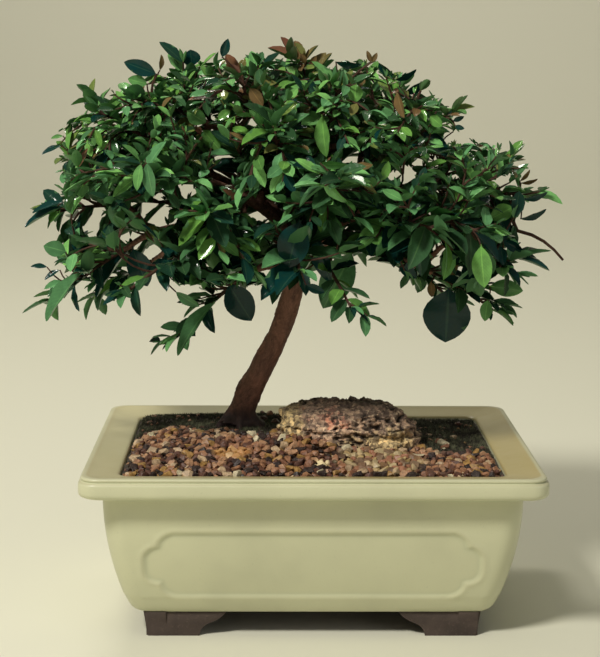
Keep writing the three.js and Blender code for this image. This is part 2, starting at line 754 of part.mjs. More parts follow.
const placed = [];
function clearOfOthers(solid) {
  const box = solid.boundingBox();
  for (const other of placed) {
    const apart = [0, 1, 2].some((k) => box.min[k] > other.box.max[k] || box.max[k] < other.box.min[k]);
    if (!apart && !solid.intersect(other.solid).isEmpty()) return false;
  }
  return true;
}

function keep(solid) {
  placed.push({ solid, box: solid.boundingBox() });
  return solid;
}

// Grows the whole tree and gives back its solids by name
function growTree() {
  const { x, y, z } = TRUNK_FOOT;
  const wood = [uprightCylinder(x, y, z - ROOT_DEPTH, z + 1, ROOT_RADIUS, 12)];
  const belowFlare = block(80, 80, 40, x, y, z - 20);
  wood.push(keep(taperedTube(smoothCurve(TRUNK_ROUTE), 11, trunkRadius, 9).subtract(belowFlare)));
  limbCurves.forEach((curve) => {
    const radiusAt = (t) => mix(LIMB_ROOT_RADIUS, TIP_RADIUS, t ** 0.8);
    wood.push(keep(taperedTube(curve, 5, radiusAt, 5)));
  });
  const plans = sprayPlans();
  YOUNG_SHOOT_BASES.forEach((base) => {
    const aim = base.clone().sub(CROWN_CENTER).normalize().add(vec(0, 0, 0.8)).normalize();
    plans.push({ base, aim, length: YOUNG_SHOOT_LENGTH, ownTip: false, young: true });
  });
  plans.filter((plan) => !plan.ownTip).forEach((plan) => {
    const origin = branchOrigin(plan);
    const rootRadius = mix(LIMB_ROOT_RADIUS, TIP_RADIUS, origin.t ** 0.8) * 0.85;
    const radiusAt = (t) => mix(Math.max(rootRadius, TIP_RADIUS + 0.2), TIP_RADIUS, t);
    wood.push(keep(taperedTube(branchCurve(origin, plan), 2, radiusAt, 4)));
  });
  plans.forEach((plan) => {
    const start = plan.base.clone().addScaledVector(plan.aim, SEAT_GAP);
    const further = start.clone().addScaledVector(plan.aim, 2 * SEAT_GAP);
    const tube = (curve, radius) => taperedTube(curve, 2, () => radius, 3);
    const isFree = (swing) => clearOfOthers(tube(stemCurve(plan, further, swing), TWIG_RADIUS * 1.6));
    const swing = STEM_SWINGS.find(isFree);
    plan.stem = stemCurve(plan, start, swing ?? [0, 0]);
    plan.shares = plan.young ? YOUNG_PAIR_SHARES : PAIR_SHARES;
    plan.leafScale = plan.young ? 0.55 : 1;
    keep(tube(plan.stem, TWIG_RADIUS * 1.25));
  });
  plans.forEach((plan, index) => {
    plan.leaves = leafDrafts(plan, 900 + index).map((pair) => pair.map((draft) => {
      const leaf = TRIES.map((change) => settledLeaf(draft, change))
        .find((candidate) => clearOfOthers(looseLeaf(candidate, 0.2)));
      if (leaf) keep(looseLeaf(leaf, 0));
      return leaf;
    }));
  });
  return { wood: mainBody(joined(wood)), plans };
}

const bonsai = new THREE.Group();

function addPiece(name, solid, color, roughness) {
  const material = new THREE.MeshStandardMaterial({ color, roughness, metalness: 0 });
  const mesh = new THREE.Mesh(geometryOf(solid), material);
  mesh.name = name;
  bonsai.add(mesh);
}

const tree = growTree();
addPiece('pot', pot(), COLOURS.glaze, 0.35);
addPiece('drain_screen_left', drainScreen(-DRAIN_X), COLOURS.screen, 0.6);
addPiece('drain_screen_right', drainScreen(DRAIN_X), COLOURS.screen, 0.6);
addPiece('soil', soil(stone(SEAT_GAP)), COLOURS.soil, 0.95);
addPiece('stone', stone(0), COLOURS.stone, 0.9);
addPiece('trunk', tree.wood, COLOURS.bark, 0.85);
let sprayNumber = 0;
let shootNumber = 0;
tree.plans.forEach((plan) => {
  const solid = spraySolid(plan);
  if (plan.young) {
    shootNumber += 1;
    addPiece(`young_shoot_${shootNumber}`, solid, COLOURS.youngLeaf, 0.4);
  } else {
    sprayNumber += 1;
    addPiece(`spray_${String(sprayNumber).padStart(2, '0')}`, solid, COLOURS.leaf, 0.35);
  }
});

// The whole stands with the middle of its box on the origin
const box = new THREE.Box3().setFromObject(bonsai);
bonsai.position.set(-(box.min.x + box.max.x) / 2, -(box.min.y + box.max.y) / 2, -box.min.z);

export default bonsai;
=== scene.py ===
"""A brush cherry bonsai in its pot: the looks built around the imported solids, in metres, +Z up, front -Y."""

import json
import math

import bmesh
import bpy
import numpy as np
from bpy.props import FloatProperty, FloatVectorProperty, IntProperty, PointerProperty
from mathutils import Matrix, Vector, noise
from mathutils.bvhtree import BVHTree
from mathutils.kdtree import KDTree

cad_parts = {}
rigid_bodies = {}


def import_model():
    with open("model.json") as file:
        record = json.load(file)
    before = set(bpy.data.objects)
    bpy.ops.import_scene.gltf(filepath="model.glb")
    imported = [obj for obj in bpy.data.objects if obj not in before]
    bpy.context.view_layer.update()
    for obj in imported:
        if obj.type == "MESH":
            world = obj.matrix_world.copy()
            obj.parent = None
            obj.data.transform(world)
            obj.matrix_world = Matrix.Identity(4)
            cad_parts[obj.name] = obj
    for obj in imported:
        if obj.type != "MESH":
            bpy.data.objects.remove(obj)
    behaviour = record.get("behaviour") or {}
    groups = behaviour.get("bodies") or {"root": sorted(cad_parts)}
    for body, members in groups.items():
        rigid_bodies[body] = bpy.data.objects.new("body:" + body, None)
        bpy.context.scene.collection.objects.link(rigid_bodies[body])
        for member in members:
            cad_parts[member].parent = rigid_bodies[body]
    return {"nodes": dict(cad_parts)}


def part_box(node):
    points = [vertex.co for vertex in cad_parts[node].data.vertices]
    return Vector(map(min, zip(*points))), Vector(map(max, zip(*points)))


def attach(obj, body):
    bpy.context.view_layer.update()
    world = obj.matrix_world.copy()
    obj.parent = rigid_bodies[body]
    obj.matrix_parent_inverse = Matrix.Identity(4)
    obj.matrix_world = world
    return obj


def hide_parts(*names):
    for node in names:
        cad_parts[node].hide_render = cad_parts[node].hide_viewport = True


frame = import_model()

bl_info = {
    "name": "Brush cherry bonsai",
    "version": (1, 0, 0),
    "blender": (4, 5, 0),
    "location": "3D View > Sidebar > Bonsai",
    "description": "Builds a potted bonsai with its stone and gravel around its plain solids",
    "category": "Add Mesh",
}

MM = 0.001
UP = Vector((0, 0, 1))
SEEDS = {
    "stone": 77, "chip": 300, "tuft": 360, "spray": 500, "leaf": 900, "side_shoot": 2000, "side_leaf": 3000,
    "fill": 4200, "bud": 5000, "spray_tone": 7000, "edge_tone": 7090, "fill_tone": 7100, "fill_leaf": 9000,
    "fill_bud": 12000,
}
POT_LOW, POT_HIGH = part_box("pot")
POT_CENTRE = Vector(((POT_LOW.x + POT_HIGH.x) / 2, (POT_LOW.y + POT_HIGH.y) / 2, 0))

# The pot, in millimetres, as its solid has it
RIM_LENGTH = 206.5
RIM_DEPTH = 157.5
POT_HEIGHT = 78.5
FOOT_HEIGHT = 11
FLOOR_Z = 17
LEDGE_WIDTH = 17
LEDGE_Z = 75.9
INNER_INSET_FLOOR = 25
WALL_LOW = 20
WALL_HIGH = 66
WALL_INSET = 9.6
WALL_LEAN = 7.8
WALL_CURVE = 1.9
WALL_ROWS = 62
PANEL_HALF_LENGTH = 75
PANEL_LOW = 20.5
PANEL_HIGH = 51
PANEL_CURL = 7
PANEL_MIDDLE = 37
CLAY_TOP = 11.32
DRAIN_X = 42
DRAIN_RADIUS = 7
FOOT_X = 75.2
FOOT_Y = 56
BRACKET_THICKNESS = 9

# Heights of the rim's edges where the glaze runs thin and of its grooves where it pools, with their reach
THIN_GLAZE = ((POT_HEIGHT, 0.2), (76.1, 0.05), (LEDGE_Z, 0.05))
POOLED_GLAZE = ((76.65, 0.1), (67.3, 0.5))

# The ground and the stone
SOIL_EDGE_Z = 75.2
MOUND_HEIGHT = 6.2
SOIL_CORNER = 5.7
PATCH_STEP = 3
STONE_CENTRE = Vector((18.2, -2, 73))
STONE_LENGTH = 68
STONE_DEPTH = 46
STONE_HEIGHT = 25

# The tree
TRUNK_FOOT = Vector((-34, 22, 82.5))
TRUNK_FOOT_RADIUS = 10.5
SHAFT_RADIUS = 6.7
TIP_RADIUS = 1.3
LIMB_ROOT_RADIUS = 3.1
TWIG_RADIUS = 0.85
LEAF_LENGTH = 24.5
LEAF_WIDTH = 11
LEAF_OVERHANG = 13
LEAF_THICKNESS = 0.9
LEAF_BEND = 0.12
CROWN_CENTRE = Vector((-9, 13, 170))
CROWN = {"left": 126, "right": 120, "front": 78, "back": 78, "top": 96, "low": 26, "power": 3}
SPRAY_LENGTH = 31
INNER_SPRAY_LENGTH = 28
YOUNG_SHOOT_LENGTH = 15
PAIR_SHARES = (0.2, 0.42, 0.64, 0.84, 1)
YOUNG_PAIR_SHARES = (0.45, 1)
SKY_TURNS = (
    ("up", 20), ("up", -20), ("side", 22), ("side", -22), ("up", 38), ("up", -38), ("side", 40),
    ("side", -40), ("up", 58), ("up", -58),
)
FILL_DARTS = 12000
FILL_SPACING = 8.4
FILL_OVERHANG = 9
FILL_REACH = (6, 27)
FILL_RADIUS = 0.5
FILL_GROUPS = 13
FILL_CLEARANCE = 1.2
SPRAY_CLEARANCE = 1.3
FILL_TRIES = (
    (0, 0, 1), (0.5, 0, 1), (-0.5, 0, 1), (0, 0.3, 0.85), (0.9, 0, 0.85), (-0.9, 0, 0.85),
    (0, -0.3, 0.7), (0.5, 0, 0.7),
)
YOUNG_SHOOT_BASES = ((-30, -16, 236), (-4, 8, 243), (44, 2, 230))
FILL_ROUNDS = 3
FILL_CHOICES = 8
TWIG_CLEARANCE = 0.9
MARKED_STEP = 2.5
SMALL_SPRAY_LEAF = 0.7
SMALL_SPRAY_LEAF_SIZE = 0.72
SIDE_TRIES = 8
SIDE_SHOOT_PLACES = (0.12, 0.31, 0.53, 0.74, 0.92)
YOUNG_SIDE_SHOOT_PLACES = (0.3, 0.74)
SIDE_SHOOT_RADIUS = 0.5
EMPTY_AXIL_SHARE = 0.14
SMALL_LEAF_LENGTH = 14
SEAT_GAP = 0.3
GOLDEN_ANGLE = math.pi * (3 - math.sqrt(5))

# The camera, fitted to the photograph: pixels, millimetres from the pot's centre, degrees
FOCAL_PIXELS = 1655
IMAGE_SIZE = (600, 657)
CAMERA_PLACE = Vector((-18.4, -774.3, 259.6))
CAMERA_PITCH = 9.35
CAMERA_YAW = 0.96
CAMERA_ROLL = -0.34

# The crown's outline and the open places in it, in the photograph's pixels
CROWN_OUTLINE = (
    (60, 268), (44, 250), (64, 238), (66, 205), (60, 192), (64, 176), (58, 160), (54, 140), (60, 124),
    (80, 116), (92, 98), (118, 90), (140, 78), (160, 76), (176, 66), (182, 54), (196, 50), (208, 58),
    (216, 44), (232, 38), (250, 50), (272, 48), (296, 57), (318, 56), (340, 60), (378, 58), (392, 76),
    (412, 92), (430, 97), (450, 108), (455, 130), (448, 142), (482, 144), (506, 150), (520, 160),
    (522, 180), (520, 215), (512, 232), (520, 250), (500, 262), (492, 290), (480, 298), (462, 288),
    (446, 284), (428, 280), (400, 270), (380, 258), (345, 250), (330, 262), (312, 262), (296, 290),
    (262, 284), (246, 284), (232, 290), (200, 285), (170, 280), (160, 258), (130, 250), (110, 262),
    (84, 276),
)
SKY_GAPS = (
    (247, 124, 12, 6), (230, 153, 15, 11), (225, 176, 14, 8), (187, 192, 11, 7), (90, 216, 13, 17),
    (158, 211, 12, 16), (136, 205, 8, 11), (352, 158, 11, 8), (350, 183, 9, 7), (394, 177, 7, 5),
    (408, 174, 6, 5), (419, 163, 6, 5), (432, 158, 5, 5), (453, 175, 6, 6), (508, 186, 8, 11),
    (258, 203, 15, 6), (265, 214, 17, 8), (352, 229, 11, 7), (268, 269, 12, 7), (437, 255, 7, 13),
    (459, 271, 7, 5), (417, 203, 6, 5), (213, 261, 8, 10), (132, 239, 11, 7), (155, 254, 10, 7),
    (447, 139, 5, 5), (409, 182, 5, 4), (440, 193, 5, 4), (432, 218, 5, 4), (422, 213, 4, 4),
    (462, 218, 4, 3), (389, 178, 4, 4), (269, 162, 6, 5), (218, 193, 5, 3), (178, 221, 5, 5),
    (234, 258, 4, 5), (150, 86, 7, 5), (277, 243, 4, 4), (333, 199, 4, 3),
)

TRUNK_ROUTE = [TRUNK_FOOT.copy()] + [Vector(p) for p in (
    (-33, 21.8, 89), (-28.6, 20.5, 100), (-21.6, 18.5, 114), (-14.8, 17, 128),
    (-9.4, 15.5, 146), (-5.4, 14.5, 166), (-7, 14, 184),
)]
LIMBS = [[Vector(p) for p in route] for route in (
    ((-5.2, 14.5, 165), (-24, 9, 178), (-53, 2, 181), (-74, -4, 178), (-88, -8, 170)),
    ((-5.6, 14.2, 172), (-24, 17, 190), (-52, 22, 205), (-80, 25, 209)),
    ((-5.2, 14.3, 168), (-20, 2, 186), (-42, -18, 201), (-56, -30, 205)),
    ((-5.2, 14.3, 170), (-20, 30, 188), (-42, 46, 203), (-54, 54, 206)),
    ((-6.8, 14, 182), (-16, 10, 200), (-32, 2, 220), (-50, -4, 229)),
    ((-6.8, 14, 182), (-1, 11, 200), (10, 3, 216), (25, -9, 226)),
    ((-5.2, 14.3, 170), (-3, -4, 188), (0, -24, 201), (3, -36, 204)),
    ((-5, 14.6, 162), (8, 11, 173), (29, 5, 169), (46, 0, 164), (57, -2, 159)),
    ((-5.1, 14.4, 168), (14, 14, 186), (42, 12, 198), (70, 10, 198)),
    ((-5.1, 14.4, 167), (12, 2, 182), (34, -18, 190), (48, -29, 189)),
    ((-5.1, 14.4, 169), (12, 28, 186), (34, 44, 194), (48, 53, 193)),
    ((-5.4, 14.2, 172), (-8, 30, 190), (-8, 46, 203), (-8, 56, 206)),
    ((-7, 15, 155), (-18, 10, 161), (-30, 5, 158), (-39, 3, 151)),
)]

# Leaves that stand out in the photograph: base, tip and width in its pixels, the colour, and where the
# leaf stands: 0 at the crown's edge, 1 on its face, 2 on its face but on the wood nearest to its place
MARKED_LEAVES = (
    (80, 273, 42, 319, 13, "grown", 0), (126, 252, 92, 295, 10, "dark", 0),
    (133, 249, 146, 287, 24, "dark", 0), (213, 303, 171, 351, 14, "grown", 0),
    (229, 284, 250, 322, 29, "dark", 0), (176, 292, 198, 308, 10, "grown", 0),
    (147, 84, 128, 79, 12, "fresh", 0), (147, 163, 151, 197, 13, "grown", 1),
    (141, 164, 135, 190, 10, "fresh", 1), (63, 202, 31, 209, 6, "dark", 0),
    (61, 207, 23, 224, 6, "dark", 0), (61, 146, 41, 152, 5, "dark", 0),
    (63, 136, 51, 138, 4, "fresh", 0), (66, 252, 44, 245, 16, "grown", 0),
    (449, 289, 446, 343, 47, "dark", 0), (481, 246, 483, 288, 20, "bright", 1),
    (490, 286, 523, 291, 17, "pale", 0), (488, 300, 484, 321, 12, "fresh", 0),
    (523, 199, 548, 194, 6, "dark", 0), (521, 219, 547, 211, 6, "dark", 0),
    (520, 181, 531, 171, 4, "bronze", 0), (521, 183, 538, 181, 4, "bronze", 0),
    (503, 240, 524, 253, 10, "dark", 0), (501, 246, 503, 265, 9, "dark", 0),
    (399, 262, 416, 279, 12, "dark", 0), (352, 253, 323, 309, 33, "grown", 2),
    (316, 236, 327, 284, 18, "dark", 0), (306, 285, 324, 293, 9, "dark", 0),
    (300, 222, 286, 268, 32, "dark", 1), (156, 74, 124, 62, 15, "dark", 0),
    (160, 70, 162, 55, 5, "bronze", 0), (395, 80, 417, 71, 6, "dark", 0),
    (402, 94, 428, 81, 8, "dark", 0), (377, 62, 394, 79, 7, "dark", 0),
    (453, 121, 464, 117, 5, "dark", 0), (455, 126, 464, 129, 5, "dark", 0),
    (356, 84, 354, 102, 15, "bright", 1), (336, 62, 361, 66, 7, "dark", 1),
    (371, 62, 367, 51, 5, "bronze", 0), (372, 62, 377, 53, 5, "bronze", 0),
    (305, 64, 302, 54, 6, "bronze", 0), (311, 64, 316, 56, 6, "bronze", 0),
    (222, 57, 228, 39, 9, "dark", 0), (192, 66, 190, 50, 18, "dark", 0),
    (203, 130, 220, 150, 14, "bright", 1), (187, 111, 205, 123, 16, "fresh", 1),
    (322, 116, 325, 157, 15, "bright", 1), (320, 163, 346, 167, 8, "fresh", 1),
    (322, 178, 346, 204, 9, "fresh", 1), (513, 207, 491, 219, 17, "bright", 1),
    (47, 267, 31, 265, 5, "dark", 0), (60, 270, 44, 279, 5, "dark", 0),
    (70, 263, 57, 257, 6, "grown", 0), (431, 282, 432, 297, 8, "bronze", 0),
    (230, 110, 218, 120, 9, "bright", 1), (250, 88, 262, 106, 12, "bronze", 1),
    (397, 92, 403, 118, 9, "bronze", 1), (430, 116, 442, 126, 11, "bright", 1),
    (486, 165, 496, 180, 10, "fresh", 1),
)
# Tone and age for each colour of the leaves above. The dark tone is the painted shade at the dark end of the
# leaf's ramp; the pale tone is the painted light at its top, on a leaf turned over to show its paler underside
MARKED_COLOURS = {
    "dark": (0.0, 0), "grown": (0.55, 0), "pale": (1.0, 0.1), "fresh": (0.7, 0.24), "bright": (0.8, 0.4),
    "bronze": (0.5, 0.92),
}
BARE_TWIG = ((512, 226), (532, 235), (549, 245), (563, 260))


# Numbers and curves
def look_frame(pitch, yaw, roll):
    """A camera's turn from its fitted pitch, yaw and roll in degrees."""
    pitch, yaw, roll = (math.radians(a) for a in (pitch, yaw, roll))
    forward = Vector((math.sin(yaw) * math.cos(pitch), math.cos(yaw) * math.cos(pitch), -math.sin(pitch)))
    right = Vector((math.cos(yaw), -math.sin(yaw), 0))
    down = forward.cross(right)
    turned_right = right * math.cos(roll) + down * math.sin(roll)
    turned_down = down * math.cos(roll) - right * math.sin(roll)
    return Matrix((turned_right, -turned_down, -forward)).transposed()


CAMERA_TURN = look_frame(CAMERA_PITCH, CAMERA_YAW, CAMERA_ROLL)
CAMERA_BACK = CAMERA_TURN.transposed()


def seen_at(point):
    """The pixel of the photograph at which a point of the pot's own millimetres is seen."""
    local = CAMERA_BACK @ (point - CAMERA_PLACE)
    across, down = FOCAL_PIXELS * local.x / local.z, FOCAL_PIXELS * local.y / local.z
    return IMAGE_SIZE[0] / 2 - across, IMAGE_SIZE[1] / 2 + down


def behind_pixel(u, v, y):
    """The point seen at a pixel, at a depth y."""
    right, above = (u - IMAGE_SIZE[0] / 2) / FOCAL_PIXELS, (IMAGE_SIZE[1] / 2 - v) / FOCAL_PIXELS
    ray = CAMERA_TURN @ Vector((right, above, -1))
    return CAMERA_PLACE + ray * ((y - CAMERA_PLACE.y) / ray.y)


def mix(a, b, t):
    return a + (b - a) * t


def smooth_step(value, low, high):
    """0 at low and 1 at high, which may be the lesser of the two, with a smooth passage."""
    t = min(max((value - low) / (high - low), 0.0), 1.0)
    return t * t * (3 - 2 * t)


def repeatable(seed):
    """A repeatable random number from 0 to 1."""
    full = 0xFFFFFFFF
    state = seed & full

    def draw():
        nonlocal state
        state = (state + 0x6D2B79F5) & full
        t = ((state ^ (state >> 15)) * (state | 1)) & full
        t ^= (t + (((t ^ (t >> 7)) * (t | 61)) & full)) & full
        return ((t ^ (t >> 14)) & full) / 4294967296

    return draw


def smooth_curve(points):
    """A curve through the points, as a function of its share from 0 to 1."""
    last = len(points) - 1

    def at(t):
        place = last * min(max(t, 0.0), 1.0)
        i = min(int(place), last - 1)
        s = place - i
        before = points[i - 1] if i > 0 else 2 * points[0] - points[1]
        after = points[i + 2] if i + 2 <= last else 2 * points[last] - points[last - 1]
        leave = (points[i + 1] - before) * 0.5
        arrive = (after - points[i]) * 0.5
        return (
            points[i] * (2 * s**3 - 3 * s**2 + 1) + leave * (s**3 - 2 * s**2 + s)
            + points[i + 1] * (3 * s**2 - 2 * s**3) + arrive * (s**3 - s**2)
        )

    return at


def bezier(*points):
    """A Bezier curve of any degree, as a function of its share from 0 to 1."""

    def at(t):
        row = list(points)
        while len(row) > 1:
            row = [row[k].lerp(row[k + 1], t) for k in range(len(row) - 1)]
        return row[0]

    return at


def heading(curve, t):
    step = 0.002
    return (curve(min(1, t + step)) - curve(max(0, t - step))).normalized()


def to_row(point):
    """A point of the pot's own millimetres as metres in the row frame."""
    return point * MM + POT_CENTRE


# Meshes and objects
def new_object(name, data):
    obj = bpy.data.objects.new(name, data)
    bpy.context.scene.collection.objects.link(obj)
    return obj


def mesh_of(name, points, faces, in_row=True):
    mesh = bpy.data.meshes.new(name)
    mesh.from_pydata([to_row(Vector(p)) if in_row else Vector(p) for p in points], [], faces)
    mesh.update()
    return mesh


def dress(mesh, *materials):
    mesh.materials.clear()
    for material in materials:
        mesh.materials.append(material)


def shade(mesh, sharp_over=None):
    mesh.shade_smooth()
    if sharp_over is not None:
        mesh.set_sharp_from_angle(angle=math.radians(sharp_over))


def plain_mesh(obj, name, helpers=()):
    """What an object and its modifiers give, as a plain object of that name. It and its helpers go."""
    bpy.context.view_layer.update()
    evaluated = obj.evaluated_get(bpy.context.evaluated_depsgraph_get())
    mesh = bpy.data.meshes.new_from_object(evaluated)
    old = obj.data
    for gone in (obj, *helpers):
        bpy.data.objects.remove(gone)
    if old.users == 0 and isinstance(old, bpy.types.Mesh):
        bpy.data.meshes.remove(old)
    mesh.name = name
    return new_object(name, mesh)


def voxel_skin(name, mesh, voxel, smoothing):
    """One closed skin round all that a mesh holds, in the mesh's own units."""
    obj = new_object(name, mesh)
    remesh = obj.modifiers.new("skin", "REMESH")
    remesh.mode = "VOXEL"
    remesh.voxel_size = voxel
    smooth = obj.modifiers.new("smooth", "SMOOTH")
    smooth.factor = 0.5
    smooth.iterations = smoothing
    return plain_mesh(obj, name)


def points_of(mesh):
    flat = np.empty(len(mesh.vertices) * 3, np.float32)
    mesh.vertices.foreach_get("co", flat)
    return flat.reshape(-1, 3)


def set_points(mesh, points):
    mesh.vertices.foreach_set("co", np.asarray(points, np.float32).ravel())
    mesh.update()


def store(mesh, name, kind, values):
    """Stores one value for each point of a mesh."""
    attribute = mesh.attributes.new(name, kind, "POINT")
    key = "vector" if kind == "FLOAT_VECTOR" else "value"
    attribute.data.foreach_set(key, np.asarray(values, np.float32).ravel())


def settle(piece, node=None):
    """Parents a finished piece to the root body and hides the solid that it stands for, when one is named."""
    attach(piece, "root")
    if node:
        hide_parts(node)


def search_tree(places):
    tree = KDTree(len(places))
    for k, place in enumerate(places):
        tree.insert(place, k)
    tree.balance()
    return tree


def tube(curve, steps, radius_at, sides):
    """Points and faces of a closed tapered tube, its rings carried along its curve without twist."""
    rings = []
    normal = None
    for i in range(steps + 1):
        t = i / steps
        along = heading(curve, t)
        if normal is None:
            normal = Vector((1, 0, 0)) if abs(along.z) > 0.9 else UP.copy()
        normal = (normal - along * normal.dot(along)).normalized()
        side = along.cross(normal)
        centre = curve(t)
        ring = []
        for j in range(sides):
            angle = 2 * math.pi * j / sides
            ring.append(centre + (normal * math.cos(angle) + side * math.sin(angle)) * radius_at(t, angle))
        rings.append(ring)
    return skin(rings)


def thin_tube(curve, radius):
    return tube(curve, 2, lambda t, angle: radius, 3)


def skin(rings):
    """Points and faces of a closed skin over a stack of equal rings."""
    count = len(rings[0])
    points = [p for ring in rings for p in ring]
    faces = []
    for i in range(len(rings) - 1):
        for j in range(count):
            after = (j + 1) % count
            faces.append((i * count + j, i * count + after, (i + 1) * count + after, (i + 1) * count + j))
    last = (len(rings) - 1) * count
    faces.append(tuple(reversed(range(count))))
    faces.append(tuple(range(last, last + count)))
    return points, faces


def gather(parts):
    """Several sets of points and faces as one."""
    points, faces = [], []
    for some_points, some_faces in parts:
        start = len(points)
        points.extend(some_points)
        faces.extend(tuple(start + k for k in face) for face in some_faces)
    return points, faces


class Graph:
    """A node tree under construction, with a short way to add nodes and to link or set their inputs."""

    def __init__(self, tree):
        self.tree = tree

    def feed(self, node, key, value):
        if isinstance(value, bpy.types.NodeSocket):
            self.tree.links.new(value, node.inputs[key])
        else:
            node.inputs[key].default_value = value

    def node(self, kind, links=None, **settings):
        made = self.tree.nodes.new(kind)
        for key, value in settings.items():
            setattr(made, key, value)
        for key, value in (links or {}).items():
            for one in value if isinstance(value, list) else [value]:
                self.feed(made, key, one)
        return made


# Materials
SHADER_SOCKETS = {
    "specular": "Specular IOR Level", "coat": "Coat Weight", "coat_roughness": "Coat Roughness",
}


class Paint(Graph):
    """A material under construction, with its shader and short ways to add nodes."""

    def __init__(self, name):
        self.material = bpy.data.materials.new(name)
        self.material.use_nodes = True
        super().__init__(self.material.node_tree)

    def place(self, stretch=(1, 1, 1)):
        """Object coordinates, stretched."""
        coordinates = self.node("ShaderNodeTexCoord").outputs["Object"]
        return self.node("ShaderNodeMapping", {"Vector": coordinates, "Scale": stretch}).outputs[0]

    def attribute(self, name, output="Fac"):
        return self.node("ShaderNodeAttribute", attribute_name=name).outputs[output]

    def noise(self, place, scale, detail=4.0, roughness=0.55):
        return self.node("ShaderNodeTexNoise", {
            "Vector": place, "Scale": scale, "Detail": detail, "Roughness": roughness,
        }).outputs["Fac"]

    def ramp(self, factor, stops, interpolation="LINEAR"):
        made = self.node("ShaderNodeValToRGB", {"Fac": factor})
        made.color_ramp.interpolation = interpolation
        elements = made.color_ramp.elements
        while len(elements) < len(stops):
            elements.new(0.5)
        for element, (position, colour) in zip(elements, stops):
            element.position = position
            element.color = (*colour, 1)
        return made.outputs["Color"]

    def levels(self, factor, low, high, new_low=0.0, new_high=1.0):
        return self.node("ShaderNodeMapRange", {
            "Value": factor, "From Min": low, "From Max": high, "To Min": new_low, "To Max": new_high,
        }).outputs["Result"]

    def patch(self, x, y, wide, deep, most):
        """A soft round patch seen from above, round a point of the pot's own millimetres."""
        coordinates = self.node("ShaderNodeTexCoord").outputs["Object"]
        scale = Vector((1 / (wide * MM), 1 / (deep * MM), 0))
        centre = to_row(Vector((x, y, 0))) * scale
        moved = self.node("ShaderNodeMapping", {"Vector": coordinates, "Scale": scale, "Location": -centre})
        far = self.node("ShaderNodeVectorMath", {0: moved.outputs[0]}, operation="LENGTH").outputs["Value"]
        return self.levels(far, 1.1, 0.8, 0, most)

    def math(self, operation, a, b=0.0):
        return self.node("ShaderNodeMath", {0: a, 1: b}, operation=operation).outputs[0]

    def blend(self, factor, a, b, mode="MIX"):
        a, b = (c if isinstance(c, bpy.types.NodeSocket) else (*c, 1) for c in (a, b))
        return self.node(
            "ShaderNodeMix", {0: factor, 6: a, 7: b}, data_type="RGBA", blend_type=mode,
        ).outputs[2]

    def share_blend(self, share, most, a, b):
        """Blends b over a by a share of which the most is given."""
        return self.blend(self.math("MULTIPLY", share, most), a, b)

    def over(self, a, b, factor, low, high, most=1.0):
        """Blends b over a where a factor passes from low to high."""
        return self.blend(self.levels(factor, low, high, 0, most), a, b)

    def bump(self, height, strength, distance, after=None):
        links = {"Height": height, "Strength": strength, "Distance": distance}
        if after is not None:
            links["Normal"] = after
        return self.node("ShaderNodeBump", links).outputs["Normal"]

    def finish(self, colour, roughness, normal=None, **others):
        """Feeds the shader, the sockets of which others names, and gives back the material."""
        shader = self.tree.nodes["Principled BSDF"]
        self.feed(shader, "Base Color", colour)
        self.feed(shader, "Roughness", roughness)
        for name, value in others.items():
            self.feed(shader, SHADER_SOCKETS[name], value)
        if normal is not None:
            self.feed(shader, "Normal", normal)
        return self.material


# Settings that a user would change
def colour_setting(name, description, default):
    return FloatVectorProperty(
        name=name, description=description, subtype="COLOR", size=3, min=0, max=1, default=default,
    )


def length_setting(name, description, default, least, most):
    return FloatProperty(
        name=name, description=description, unit="LENGTH", default=default * MM, min=least * MM,
        max=most * MM,
    )


class BonsaiPotSettings(bpy.types.PropertyGroup):
    glaze: colour_setting("Glaze", "Colour of the pot's celadon glaze", (0.56, 0.56, 0.37))
    clay: colour_setting("Bare clay", "Colour of the unglazed feet", (0.06, 0.042, 0.034))
    panel_depth: length_setting("Panel depth", "How deep the panel is sunk into the long walls", 0.8, 0, 3)


class BonsaiGroundSettings(bpy.types.PropertyGroup):
    chip_size: length_setting("Chip size", "Length of a middling gravel chip", 4.8, 1, 8)
    chip_spacing: length_setting("Chip spacing", "Least distance between chips of one layer", 3.05, 1, 8)
    tuft_size: length_setting("Moss height", "Height of a tuft of moss", 1.9, 0.5, 5)
    soil: colour_setting("Soil", "Colour of the moist soil", (0.062, 0.05, 0.038))
    moss: colour_setting("Moss", "Colour of the moss", (0.075, 0.078, 0.044))
    seed: IntProperty(name="Seed", description="Seed of the gravel's and the moss's places", default=11)


class BonsaiStoneSettings(bpy.types.PropertyGroup):
    rock: colour_setting("Rock", "Colour of the bare rock", (0.3, 0.2, 0.14))
    lichen: colour_setting("Lichen", "Colour of the crust of lichen", (0.62, 0.46, 0.23))
    relief: length_setting("Relief", "Depth of the stone's layers and pits", 1.5, 0, 4)


class BonsaiTreeSettings(bpy.types.PropertyGroup):
    bark: colour_setting("Bark", "Colour of the bark", (0.17, 0.078, 0.05))
    leaf: colour_setting("Leaf", "Colour of a grown leaf", (0.066, 0.175, 0.07))
    fresh_leaf: colour_setting("Fresh leaf", "Colour of a leaf of this season", (0.14, 0.33, 0.06))
    young_leaf: colour_setting("Young leaf", "Colour of a newly opened leaf", (0.18, 0.06, 0.042))
    leaf_gloss: FloatProperty(
        name="Leaf roughness", description="Roughness of the leaves' upper side",
        default=0.19, min=0, max=1, subtype="FACTOR",
    )


class BonsaiStageSettings(bpy.types.PropertyGroup):
    floor: colour_setting("Floor", "Colour of the plain floor", (0.71, 0.705, 0.575))
    key_power: FloatProperty(
        name="Key light", description="Power of the main light", default=28, min=0, unit="POWER",
    )
    room_light: FloatProperty(
        name="Room light", description="Strength of the even light all round", default=0.18, min=0,
    )


SETTINGS = {
    "bonsai_pot": BonsaiPotSettings,
    "bonsai_ground": BonsaiGroundSettings,
    "bonsai_stone": BonsaiStoneSettings,
    "bonsai_tree": BonsaiTreeSettings,
    "bonsai_stage": BonsaiStageSettings,
}


